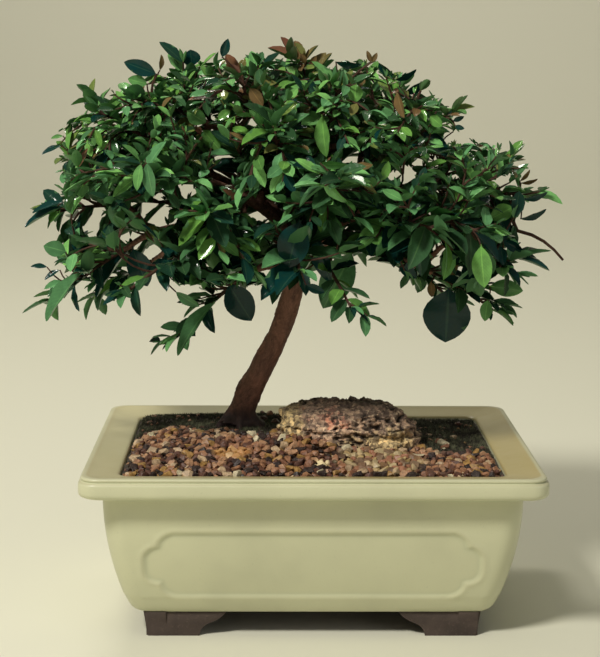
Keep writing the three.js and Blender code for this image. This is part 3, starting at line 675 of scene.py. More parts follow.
# The pot
def outer_inset(z):
    return WALL_INSET + WALL_LEAN * (max(0, WALL_HIGH - z) / (WALL_HIGH - WALL_LOW)) ** WALL_CURVE


def inner_inset(z):
    return mix(INNER_INSET_FLOOR, LEDGE_WIDTH, (z - FLOOR_Z) / (LEDGE_Z - FLOOR_Z))


def rounded_ring(half_x, half_y, radius, z, along_x, along_y, corner_steps):
    """A rounded rectangle, counterclockwise from above, starting at the right wall's far end."""
    ring = []
    sides = (
        ((1, 1), 0, along_x), ((-1, 1), 90, along_y), ((-1, -1), 180, along_x), ((1, -1), 270, along_y),
    )
    for k, ((sx, sy), start, steps) in enumerate(sides):
        centre = Vector((sx * (half_x - radius), sy * (half_y - radius), z))
        for j in range(corner_steps + 1):
            angle = math.radians(start + 90 * j / corner_steps)
            ring.append(centre + Vector((math.cos(angle), math.sin(angle), 0)) * radius)
        following = sides[(k + 1) % 4][0]
        end = Vector((following[0] * (half_x - radius), following[1] * (half_y - radius), z))
        angle = math.radians(start + 90)
        end += Vector((math.cos(angle), math.sin(angle), 0)) * radius
        begin = ring[-1]
        ring.extend(begin.lerp(end, j / steps) for j in range(1, steps))
    return ring


UNDERSIDE = (
    (42, 11.3, 4), (30, 11.1, 6), (25.2, 11, 7), (23.8, 11.05, 7.2), (22.6, 11.5, 7.6), (21.5, 12.3, 8),
    (20.7, 13.3, 8.2), (19.8, 14.8, 8.6), (18.9, 16.8, 8.9), (18.1, 18.7, 9.2),
)


def pot_profile():
    """The pot's section as (inset, z, corner radius), from under the floor over the rim to the inside."""
    section = list(UNDERSIDE)
    for k in range(WALL_ROWS):
        z = mix(WALL_LOW, WALL_HIGH, k / (WALL_ROWS - 1))
        section.append((outer_inset(z), z, 9.5))
    section += [
        (9.3, 67, 9.5), (8.4, 67.7, 9.5), (7, 68.2, 9.4), (5, 68.5, 9.1), (3, 68.7, 8.8), (1.6, 69, 8.5),
        (0.7, 69.6, 8.3), (0.15, 70.5, 8.1), (0, 71.6, 8), (0, 73.4, 8), (0.05, 74.9, 8), (0.2, 75.6, 8),
        (0.6, 76.1, 8), (1.1, 76.35, 8), (1.4, 76.65, 8), (1.25, 77, 8), (1, 77.4, 8), (1.05, 77.9, 8),
        (1.4, 78.25, 8), (2, 78.45, 8), (2.8, 78.5, 7.9), (3.8, 78.35, 7.8), (5, 77.95, 7.7), (7, 77.5, 7.4),
        (10, 77, 6.9), (13, 76.55, 6.4), (15.4, 76.2, 6.1), (16.4, 75.9, 6), (16.9, 75.3, 6),
        (17.15, 74.4, 6),
    ]
    section += [(inner_inset(z), z, 6) for z in (72, 66, 58, 44, 30, 20)]
    section += [(25.2, 17.6, 6), (26.4, 17, 6), (42, 17, 4)]
    return section


def panel_outline():
    """The outline of the sunk panel as points (x, z), its corners curling inwards in two arcs."""
    half, low, high, curl = PANEL_HALF_LENGTH, PANEL_LOW, PANEL_HIGH, PANEL_CURL
    cusp = (half - 0.9 * curl, high - 0.9 * curl)
    half_outline = [
        ((half - 2 * curl, low), (half - 1.1 * curl, low + 0.2 * curl), (half - curl, low + curl)),
        ((half - curl, low + curl), (half, low + curl), (half, low + 2 * curl)),
        ((half, high - 1.6 * curl), (half - 0.2 * curl, high - curl), cusp),
        (cusp, (half - curl, high - 0.2 * curl), (half - 1.8 * curl, high)),
    ]
    right = []
    for start, pull, end in half_outline:
        arc = bezier(*(Vector((*p, 0)) for p in (start, pull, end)))
        right.extend(arc(j / 6) for j in range(7))
    left = [Vector((-p.x, p.y, 0)) for p in reversed(right)]
    return np.array([(p.x, p.y) for p in right + left])


def inside_depth(points, outline):
    """How far each point lies inside an outline; outside it the distance is negative."""
    starts, ends = outline, np.roll(outline, -1, axis=0)
    edge = ends - starts
    away = points[:, None, :] - starts[None]
    length = np.maximum((edge**2).sum(1), 1e-9)
    share = np.clip((away * edge[None]).sum(2) / length[None], 0, 1)
    near = np.linalg.norm(away - share[..., None] * edge[None], axis=2).min(1)
    x, y = points[:, 0][:, None], points[:, 1][:, None]
    crosses = (starts[None, :, 1] > y) != (ends[None, :, 1] > y)
    with np.errstate(divide="ignore", invalid="ignore"):
        at = starts[None, :, 0] + (y - starts[None, :, 1]) * edge[None, :, 0] / edge[None, :, 1]
    inside = (crosses & (x < at)).sum(1) % 2 == 1
    return np.where(inside, near, -near)


def glaze_material(settings):
    paint = Paint("celadon_glaze")
    place = paint.place()
    clouds = paint.noise(place, 22, 3)
    speckle = paint.noise(place, 900, 3, 0.7)
    base = Vector(settings.glaze)
    colour = paint.ramp(clouds, [(0.3, base * 0.9), (0.5, base), (0.75, base * 1.07)])
    colour = paint.over(colour, base * 0.62, speckle, 0.62, 0.78, 0.35)
    colour = paint.share_blend(paint.attribute("glaze_thin"), 0.75, colour, (0.42, 0.36, 0.2))
    colour = paint.share_blend(paint.attribute("glaze_pool"), 0.55, colour, (0.36, 0.4, 0.26))
    # Painted shade and reflection: the ledge's top darkened towards yellow brown, most at the right and the
    # front
    colour = paint.blend(paint.attribute("glaze_warm"), colour, (0.42, 0.34, 0.14))
    roughness = paint.levels(paint.noise(place, 60, 3), 0.3, 0.7, 0.3, 0.42)
    waves = paint.bump(paint.noise(place, 260, 2), 0.25, 0.15 * MM)
    return paint.finish(colour, roughness, waves, specular=0.45, coat=0.1, coat_roughness=0.2)


def clay_material(settings):
    paint = Paint("bare_clay")
    place = paint.place()
    base = Vector(settings.clay)
    grain = paint.noise(place, 700, 6, 0.7)
    patches = paint.noise(place, 60, 3)
    colour = paint.ramp(patches, [(0.3, base * 0.7), (0.6, base * 1.15), (0.8, base * 1.7)])
    colour = paint.over(colour, base * 2.6, grain, 0.55, 0.75, 0.5)
    return paint.finish(colour, 0.85, paint.bump(grain, 0.6, 0.25 * MM))


class BONSAI_OT_pot(bpy.types.Operator):
    """Builds the glazed pot with its moulded rim and sunk panels"""

    bl_idname = "bonsai.pot"
    bl_label = "Glazed pot"

    def execute(self, context):
        settings = context.scene.bonsai_pot
        section = pot_profile()
        rings = [
            rounded_ring(RIM_LENGTH / 2 - inset, RIM_DEPTH / 2 - inset, radius, z, 170, 60, 8)
            for inset, z, radius in section
        ]
        points, faces = skin(rings)
        points = np.array(points)
        outside = len(rings[0]) * (len(UNDERSIDE) + WALL_ROWS)
        x, y, z = np.abs(points - (0, 0, PANEL_MIDDLE)).T
        chosen = np.nonzero((x < 80) & (y > 50) & (z < 21) & (np.arange(len(points)) < outside))[0]
        depth = inside_depth(points[chosen][:, [0, 2]], panel_outline())
        sunk = np.clip(depth / 2.3 + 0.5, 0, 1)
        sunk = sunk * sunk * (3 - 2 * sunk)
        lip = np.exp(-((depth + 1.6) / 1.2) ** 2) * 0.22
        move = lip - sunk * settings.panel_depth / MM
        points[chosen, 1] += np.sign(points[chosen, 1]) * move
        mesh = mesh_of("glazed_pot", points, faces)
        thin = np.zeros(len(points))
        pool = np.zeros(len(points))
        pool[chosen] = np.exp(-((depth - 0.9) / 1.1) ** 2) * 0.45
        thin[chosen] = np.exp(-((depth + 1.2) / 0.9) ** 2) * 0.15
        for k, (inset, z, _) in enumerate(section):
            ring = slice(k * len(rings[0]), (k + 1) * len(rings[0]))
            if inset < LEDGE_WIDTH + 0.2 and any(abs(z - edge) < near for edge, near in THIN_GLAZE):
                thin[ring] = 0.45
            if any(abs(z - edge) < near for edge, near in POOLED_GLAZE):
                pool[ring] = 0.7
        store(mesh, "glaze_thin", "FLOAT", thin)
        store(mesh, "glaze_pool", "FLOAT", pool)
        # Painted shade and reflection on the ledge's top, stronger towards the right and the front
        ledge = np.repeat([inset > 3 and z > 75 for inset, z, _ in section], len(rings[0]))
        shade_and_reflection = np.clip(0.75 + points[:, 0] / 300 - points[:, 1] / 400, 0.5, 1)
        store(mesh, "glaze_warm", "FLOAT", ledge * shade_and_reflection)
        dress(mesh, glaze_material(settings), clay_material(settings))
        for polygon in mesh.polygons:
            if polygon.center.z < CLAY_TOP * MM:
                polygon.material_index = 1
        shade(mesh, 50)
        pot = new_object("glazed_pot", mesh)
        cutters = [drain_cutter(x) for x in (-DRAIN_X, DRAIN_X)]
        for cutter in cutters:
            add_boolean(pot, cutter, "DIFFERENCE")
        settle(plain_mesh(pot, "glazed_pot", cutters), "pot")
        return {"FINISHED"}


def add_boolean(obj, other, operation):
    boolean = obj.modifiers.new(operation, "BOOLEAN")
    boolean.operation = operation
    boolean.solver = "EXACT"
    boolean.object = other


def drain_cutter(x):
    """The round rod that cuts one drain hole through the floor."""
    circle = [
        Vector((x + DRAIN_RADIUS * math.cos(a), DRAIN_RADIUS * math.sin(a), 0))
        for a in (2 * math.pi * k / 40 for k in range(40))
    ]
    rings = [[p + UP * z for p in circle] for z in (8, 26)]
    return new_object("drain_cutter", mesh_of("drain_cutter", *skin(rings)))


def bracket(sole, apron, outward):
    """One arm of a foot: a flat sole, a short heel and an apron that curls up under the floor."""
    top = FOOT_HEIGHT + 0.6
    profile = [Vector((x, 0, z)) for x, z in ((-1.2, top), (-0.6, 8), (0.3, 3), (0.8, 0), (sole, 0))]
    rise = bezier(Vector((sole, 0, 0)), Vector((sole + 0.5, 0, 4.5)), Vector((sole + 5, 0, 6)))
    hook = bezier(Vector((sole + 5, 0, 6)), Vector((apron - 2, 0, 8)), Vector((apron, 0, FOOT_HEIGHT)))
    profile += [rise(k / 6) for k in range(1, 7)] + [hook(k / 6) for k in range(1, 7)]
    profile.append(Vector((apron, 0, top)))
    return skin([[p + Vector((0, outward, 0)) for p in profile], profile])


class BONSAI_OT_feet(bpy.types.Operator):
    """Builds the four unglazed bracket feet"""

    bl_idname = "bonsai.feet"
    bl_label = "Bracket feet"

    def execute(self, context):
        parts = []
        for sx in (-1, 1):
            for sy in (-1, 1):
                along_x, faces_x = bracket(24, 36, BRACKET_THICKNESS)
                along_y, faces_y = bracket(20, 31, BRACKET_THICKNESS)
                along_x = [Vector((p.x - FOOT_X, p.y - FOOT_Y, p.z)) for p in along_x]
                along_y = [Vector((p.y - FOOT_X, p.x - FOOT_Y, p.z)) for p in along_y]
                for arm, faces in ((along_x, faces_x), (along_y, faces_y)):
                    parts.append(([Vector((-sx * p.x, -sy * p.y, p.z)) for p in arm], faces))
        arms = []
        for points, faces in parts:
            mesh = mesh_of("bracket", points, faces)
            turn_outwards(mesh)
            arms.append(new_object("bracket", mesh))
        feet = arms[0]
        for arm in arms[1:]:
            add_boolean(feet, arm, "UNION")
        edge = feet.modifiers.new("edge", "BEVEL")
        edge.width = 0.7 * MM
        edge.segments = 2
        edge.angle_limit = math.radians(50)
        feet = plain_mesh(feet, "clay_feet", arms[1:])
        shade(feet.data, 40)
        dress(feet.data, bpy.data.materials["bare_clay"])
        settle(feet, "pot")
        return {"FINISHED"}


def turn_outwards(mesh):
    """Merges doubles and turns every face outwards."""
    made = bmesh.new()
    made.from_mesh(mesh)
    bmesh.ops.remove_doubles(made, verts=made.verts, dist=0.001 * MM)
    bmesh.ops.recalc_face_normals(made, faces=made.faces)
    made.to_mesh(mesh)
    made.free()
    mesh.update()


class BONSAI_OT_screens(bpy.types.Operator):
    """Gives the mesh squares over the drain holes their dark plastic"""

    bl_idname = "bonsai.screens"
    bl_label = "Drain screens"

    def execute(self, context):
        paint = Paint("screen_plastic")
        scuffs = paint.noise(paint.place(), 300, 4)
        colour = paint.ramp(scuffs, [(0.3, (0.012, 0.012, 0.013)), (0.8, (0.05, 0.047, 0.042))])
        plastic = paint.finish(colour, 0.55, paint.bump(scuffs, 0.3, 0.1 * MM))
        for name in ("drain_screen_left", "drain_screen_right"):
            dress(frame["nodes"][name].data, plastic)
        return {"FINISHED"}


# The ground
def ground_height(x, y):
    across_x = max(0, 1 - ((x + 22) / 98) ** 2)
    across_y = max(0, 1 - ((y - 10) / 68) ** 2)
    from_wall = min(RIM_LENGTH / 2 - abs(x), RIM_DEPTH / 2 - abs(y)) - LEDGE_WIDTH
    cushion = smooth_step(y, 34, 46) * smooth_step(-x, 2, 22) * smooth_step(from_wall, 0.5, 4)
    return SOIL_EDGE_Z + MOUND_HEIGHT * across_x * across_y * smooth_step(from_wall, -2, 22) + 2.2 * cushion


def moss_share(x, y):
    """How mossy or bare the ground is: behind the trunk's foot, at the back left and beyond the stone."""
    wander = noise.noise(Vector((x, y, 3)) * 0.06) * 16
    back_left = smooth_step(y + wander + 0.25 * (x + 40), 2, 12) * smooth_step(-x + wander, -2, 14)
    behind = smooth_step(y + wander, 20, 30)
    right = smooth_step(x + wander * 0.6, 44, 54) * smooth_step(y + wander * 0.6, -26, -14)
    return max(back_left, behind, right)


def soil_material(settings):
    paint = Paint("moist_soil")
    place = paint.place()
    base = Vector(settings.soil)
    crumbs = paint.noise(place, 380, 8, 0.75)
    colour = paint.ramp(crumbs, [(0.3, base * 0.5), (0.52, base), (0.72, base * 2.4), (0.86, base * 4)])
    return paint.finish(colour, 0.92, paint.bump(crumbs, 0.9, 0.8 * MM))


def grid(columns, rows, half_x, half_y):
    """The places of a grid, row by row, and its faces."""
    places = [
        (mix(-half_x, half_x, i / columns), mix(-half_y, half_y, j / rows))
        for j in range(rows + 1) for i in range(columns + 1)
    ]
    wide = columns + 1
    starts = [j * wide + i for j in range(rows) for i in range(columns)]
    return places, [(start, start + 1, start + wide + 1, start + wide) for start in starts]


def soil_point(x, y, half_x, half_y):
    """A point of the soil's top for a place of the grid, drawn in where the corners are round."""
    radius = SOIL_CORNER
    over_x, over_y = abs(x) - (half_x - radius), abs(y) - (half_y - radius)
    if over_x > 0 and over_y > 0:
        shrink = max(over_x, over_y) / math.hypot(over_x, over_y)
        x = math.copysign(half_x - radius + over_x * shrink, x)
        y = math.copysign(half_y - radius + over_y * shrink, y)
    bump = noise.fractal(Vector((x, y, 7)) * 0.16, 0.8, 2.1, 5) * 0.8
    return Vector((x, y, ground_height(x, y) - 1.2 + bump))


class BONSAI_OT_soil(bpy.types.Operator):
    """Fills the pot with moist soil up to its mound"""

    bl_idname = "bonsai.soil"
    bl_label = "Soil"

    def execute(self, context):
        columns, rows = 118, 84
        inset = inner_inset(SOIL_EDGE_Z) + SEAT_GAP
        half_x, half_y = RIM_LENGTH / 2 - inset, RIM_DEPTH / 2 - inset
        places, faces = grid(columns, rows, half_x, half_y)
        points = [soil_point(x, y, half_x, half_y) for x, y in places]
        wide = columns + 1
        border = [*range(columns), *range(columns, rows * wide, wide)]
        border += [*range(rows * wide + columns, rows * wide, -1), *range(rows * wide, 0, -wide)]
        above = border
        for z in (66, 50, 34, FLOOR_Z + 1.7):
            spread = inner_inset(z) + SEAT_GAP
            grow_x = (RIM_LENGTH / 2 - spread) / half_x
            grow_y = (RIM_DEPTH / 2 - spread) / half_y
            below = []
            for k in border:
                below.append(len(points))
                points.append(Vector((points[k].x * grow_x, points[k].y * grow_y, z)))
            for k in range(len(border)):
                after = (k + 1) % len(border)
                faces.append((above[after], above[k], below[k], below[after]))
            above = below
        faces.append(tuple(reversed(above)))
        mesh = mesh_of("soil_bed", points, faces)
        turn_outwards(mesh)
        dress(mesh, soil_material(context.scene.bonsai_ground))
        shade(mesh, 60)
        settle(new_object("soil_bed", mesh), "soil")
        return {"FINISHED"}


def shape_collection(name, meshes):
    """A collection of small shapes for instances, kept out of the scene."""
    collection = bpy.data.collections.new(name)
    for k, mesh in enumerate(meshes):
        collection.objects.link(bpy.data.objects.new(f"{name}_{k}", mesh))
    return collection


def drop_collection(collection):
    for obj in list(collection.objects):
        mesh = obj.data
        bpy.data.objects.remove(obj)
        bpy.data.meshes.remove(mesh)
    bpy.data.collections.remove(collection)


class Nodes(Graph):
    """A Geometry Nodes tree under construction."""

    def __init__(self, name, inputs):
        super().__init__(bpy.data.node_groups.new(name, "GeometryNodeTree"))
        self.named = {}
        for label, kind in (("Geometry", "Geometry"), *inputs):
            made = self.tree.interface.new_socket(label, in_out="INPUT", socket_type=f"NodeSocket{kind}")
            self.named[label] = made.identifier
        self.tree.interface.new_socket("Geometry", in_out="OUTPUT", socket_type="NodeSocketGeometry")
        self.inputs = self.tree.nodes.new("NodeGroupInput")
        self.end = self.tree.nodes.new("NodeGroupOutput")

    def get(self, label):
        return self.inputs.outputs[label]

    def attribute(self, name, kind="FLOAT"):
        read = self.node("GeometryNodeInputNamedAttribute", {"Name": name}, data_type=kind)
        return read.outputs["Attribute"]

    def shapes(self, label):
        """The shapes of a collection, each as an instance."""
        return self.node("GeometryNodeCollectionInfo", {
            "Collection": self.get(label), "Separate Children": True, "Reset Children": True,
        }).outputs[0]

    def times(self, a, b):
        return self.node("ShaderNodeMath", {0: a, 1: b}, operation="MULTIPLY").outputs[0]

    def vector(self, x, y, z):
        return self.node("ShaderNodeCombineXYZ", {"X": x, "Y": y, "Z": z}).outputs[0]

    def dressed(self, geometry, label="Material"):
        return self.node(
            "GeometryNodeSetMaterial", {"Geometry": geometry, "Material": self.get(label)},
        ).outputs[0]

    def real(self, instances):
        return self.node("GeometryNodeRealizeInstances", {"Geometry": instances}).outputs[0]

    def finish(self, geometry):
        self.tree.links.new(geometry, self.end.inputs["Geometry"])

    def run(self, obj, name, values):
        """Puts the tree on an object with these inputs and gives back the plain result."""
        modifier = obj.modifiers.new(self.tree.name, "NODES")
        modifier.node_group = self.tree
        for label, value in values.items():
            modifier[self.named[label]] = value
        return plain_mesh(obj, name)


def scatter_tree():
    """Shapes strewn over a surface by a density, each turned and sized at random and given a random tone."""
    nodes = Nodes("Strew shapes", [
        ("Shapes", "Collection"), ("Spacing", "Float"), ("Least size", "Float"), ("Greatest size", "Float"),
        ("Lean", "Float"), ("Flatness", "Float"), ("Seed", "Int"), ("Material", "Material"),
    ])
    spread = nodes.node("GeometryNodeDistributePointsOnFaces", {
        "Mesh": nodes.get("Geometry"), "Distance Min": nodes.get("Spacing"), "Density Max": 2.0e6,
        "Density Factor": nodes.attribute("cover"), "Seed": nodes.get("Seed"),
    }, distribute_method="POISSON")
    lean = nodes.get("Lean")
    back = nodes.times(lean, -1.0)
    low, high = nodes.vector(back, back, 0.0), nodes.vector(lean, lean, 2 * math.pi)
    turn = nodes.node(
        "FunctionNodeRandomValue", {0: low, 1: high, "Seed": nodes.get("Seed")}, data_type="FLOAT_VECTOR",
    )
    size = nodes.node("FunctionNodeRandomValue", {
        2: nodes.get("Least size"), 3: nodes.get("Greatest size"), "Seed": nodes.get("Seed"),
    }, data_type="FLOAT").outputs[1]
    tone = nodes.node("FunctionNodeRandomValue", {"Seed": nodes.get("Seed")}, data_type="FLOAT")
    tall = nodes.times(size, nodes.get("Flatness"))
    placed = nodes.node("GeometryNodeInstanceOnPoints", {
        "Points": spread.outputs["Points"], "Instance": nodes.shapes("Shapes"), "Pick Instance": True,
        "Rotation": turn.outputs[0], "Scale": nodes.vector(size, size, tall),
    })
    toned = nodes.node("GeometryNodeStoreNamedAttribute", {
        "Geometry": placed.outputs[0], "Name": "tone", "Value": tone.outputs[1],
    }, data_type="FLOAT", domain="INSTANCE")
    nodes.finish(nodes.dressed(nodes.real(toned.outputs[0])))
    return nodes


def ground_patch(name, cover_at, lift, inset, banked):
    """A sheet over the ground that says how thickly each place is covered."""
    half_x = RIM_LENGTH / 2 - inner_inset(SOIL_EDGE_Z) - inset
    half_y = RIM_DEPTH / 2 - inner_inset(SOIL_EDGE_Z) - inset
    columns, rows = round(2 * half_x / PATCH_STEP), round(2 * half_y / PATCH_STEP)
    places, faces = grid(columns, rows, half_x, half_y)
    points = [Vector((x, y, ground_height(x, y) + lift + banked * heap(x, y))) for x, y in places]
    mesh = mesh_of(name, points, faces)
    cover = [min(1, max(0, cover_at(p.x, p.y) * clear_of_seats(p.x, p.y))) for p in points]
    store(mesh, "cover", "FLOAT", cover)
    return new_object(name, mesh)


def strew(name, shapes, material, patch, spacing, sizes, lean, flatness, seed):
    """Strews shapes over a patch of ground as one piece."""
    piece = scatter_tree().run(ground_patch(f"{name}_patch", *patch), name, {
        "Shapes": shapes, "Spacing": spacing, "Least size": sizes[0], "Greatest size": sizes[1],
        "Lean": lean, "Flatness": flatness, "Seed": seed, "Material": material,
    })
    settle(piece)


def heap(x, y):
    """Gravel banked against the stone's left front."""
    return 4.4 * math.exp(-((x + 5) / 14) ** 2 - ((y + 23) / 9) ** 2)


def clear_of_seats(x, y):
    """0 inside the trunk's foot and the stone, 1 outside them."""
    trunk = math.hypot(x - TRUNK_FOOT.x, y - TRUNK_FOOT.y) - 7
    along = (x - STONE_CENTRE.x) / (STONE_LENGTH / 2 - 3)
    across = (y - STONE_CENTRE.y) / (STONE_DEPTH / 2 - 3)
    return smooth_step(trunk, 0, 2) * smooth_step(math.hypot(along, across), 0.94, 1.0)


def chip_meshes():
    """Angular chips, each the hull of a few random points."""
    meshes = []
    for k in range(9):
        random = repeatable(SEEDS["chip"] + k)
        made = bmesh.new()
        for _ in range(15):
            direction = Vector((random() - 0.5, random() - 0.5, random() - 0.5)).normalized()
            stretch = Vector((0.54, mix(0.4, 0.5, random()), mix(0.32, 0.42, random())))
            made.verts.new([direction[i] * stretch[i] for i in range(3)])
        bmesh.ops.convex_hull(made, input=made.verts)
        loose = [v for v in made.verts if not v.link_faces]
        bmesh.ops.delete(made, geom=loose, context="VERTS")
        bmesh.ops.recalc_face_normals(made, faces=made.faces)
        mesh = bpy.data.meshes.new(f"chip_{k}")
        made.to_mesh(mesh)
        made.free()
        meshes.append(mesh)
    return meshes


def tuft_meshes():
    """Small tufts of moss: short blades fanned round one root."""
    meshes = []
    for k in range(4):
        random = repeatable(SEEDS["tuft"] + k)
        points, faces = [], []
        for b in range(6):
            angle = 2 * math.pi * (b + random() * 0.6) / 6
            out = Vector((math.cos(angle), math.sin(angle), 0))
            side = Vector((-out.y, out.x, 0)) * 0.13
            root, tip = out * 0.08, out * mix(0.25, 0.65, random()) + UP * mix(0.6, 1.0, random())
            start = len(points)
            points += [root - side, root + side, root + out * 0.2, tip]
            corners = ((0, 1, 3), (1, 2, 3), (2, 0, 3), (0, 2, 1))
            faces += [tuple(start + corner for corner in face) for face in corners]
        mesh = mesh_of(f"tuft_{k}", points, faces, in_row=False)
        turn_outwards(mesh)
        meshes.append(mesh)
    return meshes


def gravel_material():
    paint = Paint("gravel_chips")
    place = paint.place()
    tone = paint.attribute("tone")
    colour = paint.ramp(tone, [
        (0.0, (0.025, 0.012, 0.01)), (0.15, (0.14, 0.052, 0.03)), (0.3, (0.34, 0.15, 0.078)),
        (0.44, (0.46, 0.22, 0.11)), (0.57, (0.16, 0.07, 0.045)), (0.68, (0.58, 0.32, 0.17)),
        (0.79, (0.5, 0.28, 0.08)), (0.86, (0.04, 0.024, 0.022)), (0.925, (0.7, 0.5, 0.3)),
        (0.98, (0.85, 0.74, 0.48)),
    ], "CONSTANT")
    mottle = paint.noise(place, 620, 5, 0.65)
    dull = paint.blend(0.7, colour, (0.016, 0.008, 0.006))
    colour = paint.over(dull, colour, mottle, 0.3, 0.7)
    speckled = paint.ramp(tone, [
        (0, (0.5, 0.36, 0.15)), (0.3, (0.36, 0.16, 0.09)), (0.55, (0.56, 0.44, 0.24)),
        (0.75, (0.16, 0.09, 0.05)),
    ], "CONSTANT")
    for patch, share, spot_colour in (
        ((31, -40, 21, 17), 0.8, speckled), ((4, -46, 3.4, 3.4), 1.0, (0.8, 0.66, 0.38)),
        ((-37, -33, 9, 8), 0.6, (0.62, 0.32, 0.1)),
    ):
        colour = paint.blend(paint.patch(*patch, share), colour, spot_colour)
    dust = paint.noise(place, 1700, 2)
    colour = paint.over(colour, (0.42, 0.33, 0.25), dust, 0.6, 0.75, 0.35)
    roughness = paint.levels(mottle, 0.3, 0.7, 0.34, 0.7)
    return paint.finish(colour, roughness, paint.bump(mottle, 0.7, 0.4 * MM))


def moss_material(settings):
    paint = Paint("moss")
    base = Vector(settings.moss)
    tone = paint.attribute("tone")
    patches = paint.noise(paint.place(), 90, 3)
    colour = paint.ramp(tone, [(0, base * 0.4), (0.6, base), (1, base * 2.2)])
    colour = paint.over(colour, (0.03, 0.024, 0.015), patches, 0.45, 0.65)
    return paint.finish(colour, 0.85)


# Name, seed, cover on bare and on mossy ground, lift, inset, share of the heap, spacing, sizes, lean
GRAVEL_LAYERS = (
    ("gravel_bed", 0, 1, 0.12, -1.2, 3.4, 0.45, 0.95, (0.62, 1.0), 0.45),
    ("gravel_top", 1, 1, 0.02, 0.2, 3.4, 1, 1.0, (0.72, 1.3), 0.5),
    ("grit", 7, 0.5, 0.12, -0.7, 1.6, 0, 0.8, (0.25, 0.5), 0.8),
)


class BONSAI_OT_gravel(bpy.types.Operator):
    """Strews the gravel chips over the soil in layers"""

    bl_idname = "bonsai.gravel"
    bl_label = "Gravel"

    def execute(self, context):
        settings = context.scene.bonsai_ground
        material = gravel_material()
        shapes = shape_collection("chips", chip_meshes())
        for name, seed, bare, mossy, lift, inset, banked, spacing, sizes, lean in GRAVEL_LAYERS:
            cover_at = lambda x, y: mix(bare, mossy, moss_share(x, y))
            patch, gap = (cover_at, lift, inset, banked), settings.chip_spacing * spacing
            sizes = [settings.chip_size * size for size in sizes]
            strew(name, shapes, material, patch, gap, sizes, lean, 1.0, settings.seed + seed)
        drop_collection(shapes)
        return {"FINISHED"}


class BONSAI_OT_moss(bpy.types.Operator):
    """Grows the low dark moss behind the trunk and beyond the stone"""

    bl_idname = "bonsai.moss"
    bl_label = "Moss"

    def execute(self, context):
        settings = context.scene.bonsai_ground
        shapes = shape_collection("tufts", tuft_meshes())
        patch = (lambda x, y: moss_share(x, y) ** 2, -0.9, 1.5, 0)
        sizes = (settings.tuft_size * 0.6, settings.tuft_size * 1.2)
        strew(
            "moss", shapes, moss_material(settings), patch, 1.15 * MM, sizes, 0.35, 0.9,
            settings.seed + 20,
        )
        drop_collection(shapes)
        return {"FINISHED"}


# The stone
def stone_rings():
    """The weathered block's rings, as its solid has them."""
    random = repeatable(SEEDS["stone"])
    layers = (
        (0, 0.3, 0.88, 0.86), (0.14, 0.3, 1, 1), (0.34, 0, 1, 0.99), (0.38, -0.2, 0.96, 0.93),
        (0.58, -1.5, 0.95, 0.9), (0.62, -1.8, 0.9, 0.84), (0.8, -3.2, 0.86, 0.76), (0.88, -2.4, 0.7, 0.62),
        (0.96, -1, 0.48, 0.42), (1, -0.5, 0.22, 0.2),
    )
    rings = []
    for level, shift, length_share, depth_share in layers:
        ring = []
        for j in range(18):
            angle = j / 18 * 2 * math.pi
            rough = 1 + (random() - 0.5) * 0.16
            c = math.copysign(abs(math.cos(angle)) ** 0.78, math.cos(angle))
            s = math.copysign(abs(math.sin(angle)) ** 0.78, math.sin(angle))
            lift = 0 if level == 0 else (random() - 0.5) * 1.3
            ring.append(STONE_CENTRE + Vector((
                shift + c * STONE_LENGTH / 2 * length_share * rough,
                s * STONE_DEPTH / 2 * depth_share * rough,
                level * STONE_HEIGHT + lift,
            )))
        rings.append(ring)
    return rings


def stone_material(settings):
    paint = Paint("weathered_stone")
    place = paint.place()
    rock = Vector(settings.rock)
    lichen = Vector(settings.lichen)
    broad = paint.noise(place, 55, 5, 0.6)
    fine = paint.noise(place, 420, 6, 0.7)
    colour = paint.ramp(broad, [
        (0.32, rock * 0.4), (0.46, rock), (0.58, rock * 1.5), (0.66, (0.5, 0.2, 0.13)),
    ])
    grains = paint.noise(place, 800, 3, 0.6)
    colour = paint.over(colour, (0.62, 0.5, 0.34), grains, 0.54, 0.66, 0.7)
    crust = paint.attribute("lichen")
    edge = paint.noise(place, 230, 5, 0.7)
    cover = paint.math("ADD", crust, paint.math("MULTIPLY", paint.math("SUBTRACT", edge, 0.5), 1.5))
    cover = paint.levels(cover, 0.3, 0.66)
    shade_of = paint.ramp(fine, [(0.3, lichen * 0.45), (0.5, lichen), (0.72, (0.62, 0.55, 0.36))])
    colour = paint.share_blend(cover, 0.92, colour, shade_of)
    crumbs = paint.node("ShaderNodeTexVoronoi", {"Vector": place, "Scale": 620}).outputs["Color"]
    crumbs = paint.ramp(crumbs, [(0.25, (0.32, 0.3, 0.3)), (0.5, (1, 1, 1)), (0.8, (1.9, 1.85, 1.7))])
    colour = paint.blend(0.85, colour, crumbs, "MULTIPLY")
    colour = paint.over(colour, rock * 0.12, fine, 0.5, 0.64, 0.75)
    high = paint.math("ADD", paint.attribute("height"), paint.math("MULTIPLY", broad, 0.5))
    colour = paint.over(colour, rock * 0.22, high, 0.9, 1.35, 0.75)
    # Painted shade, near black, deep in the pits, cracks and grooves between the layers
    colour = paint.over(colour, (0.012, 0.008, 0.006), paint.attribute("cavity"), 0.15, 0.9, 0.85)
    return paint.finish(colour, 0.88, paint.bump(fine, 0.7, 0.5 * MM))


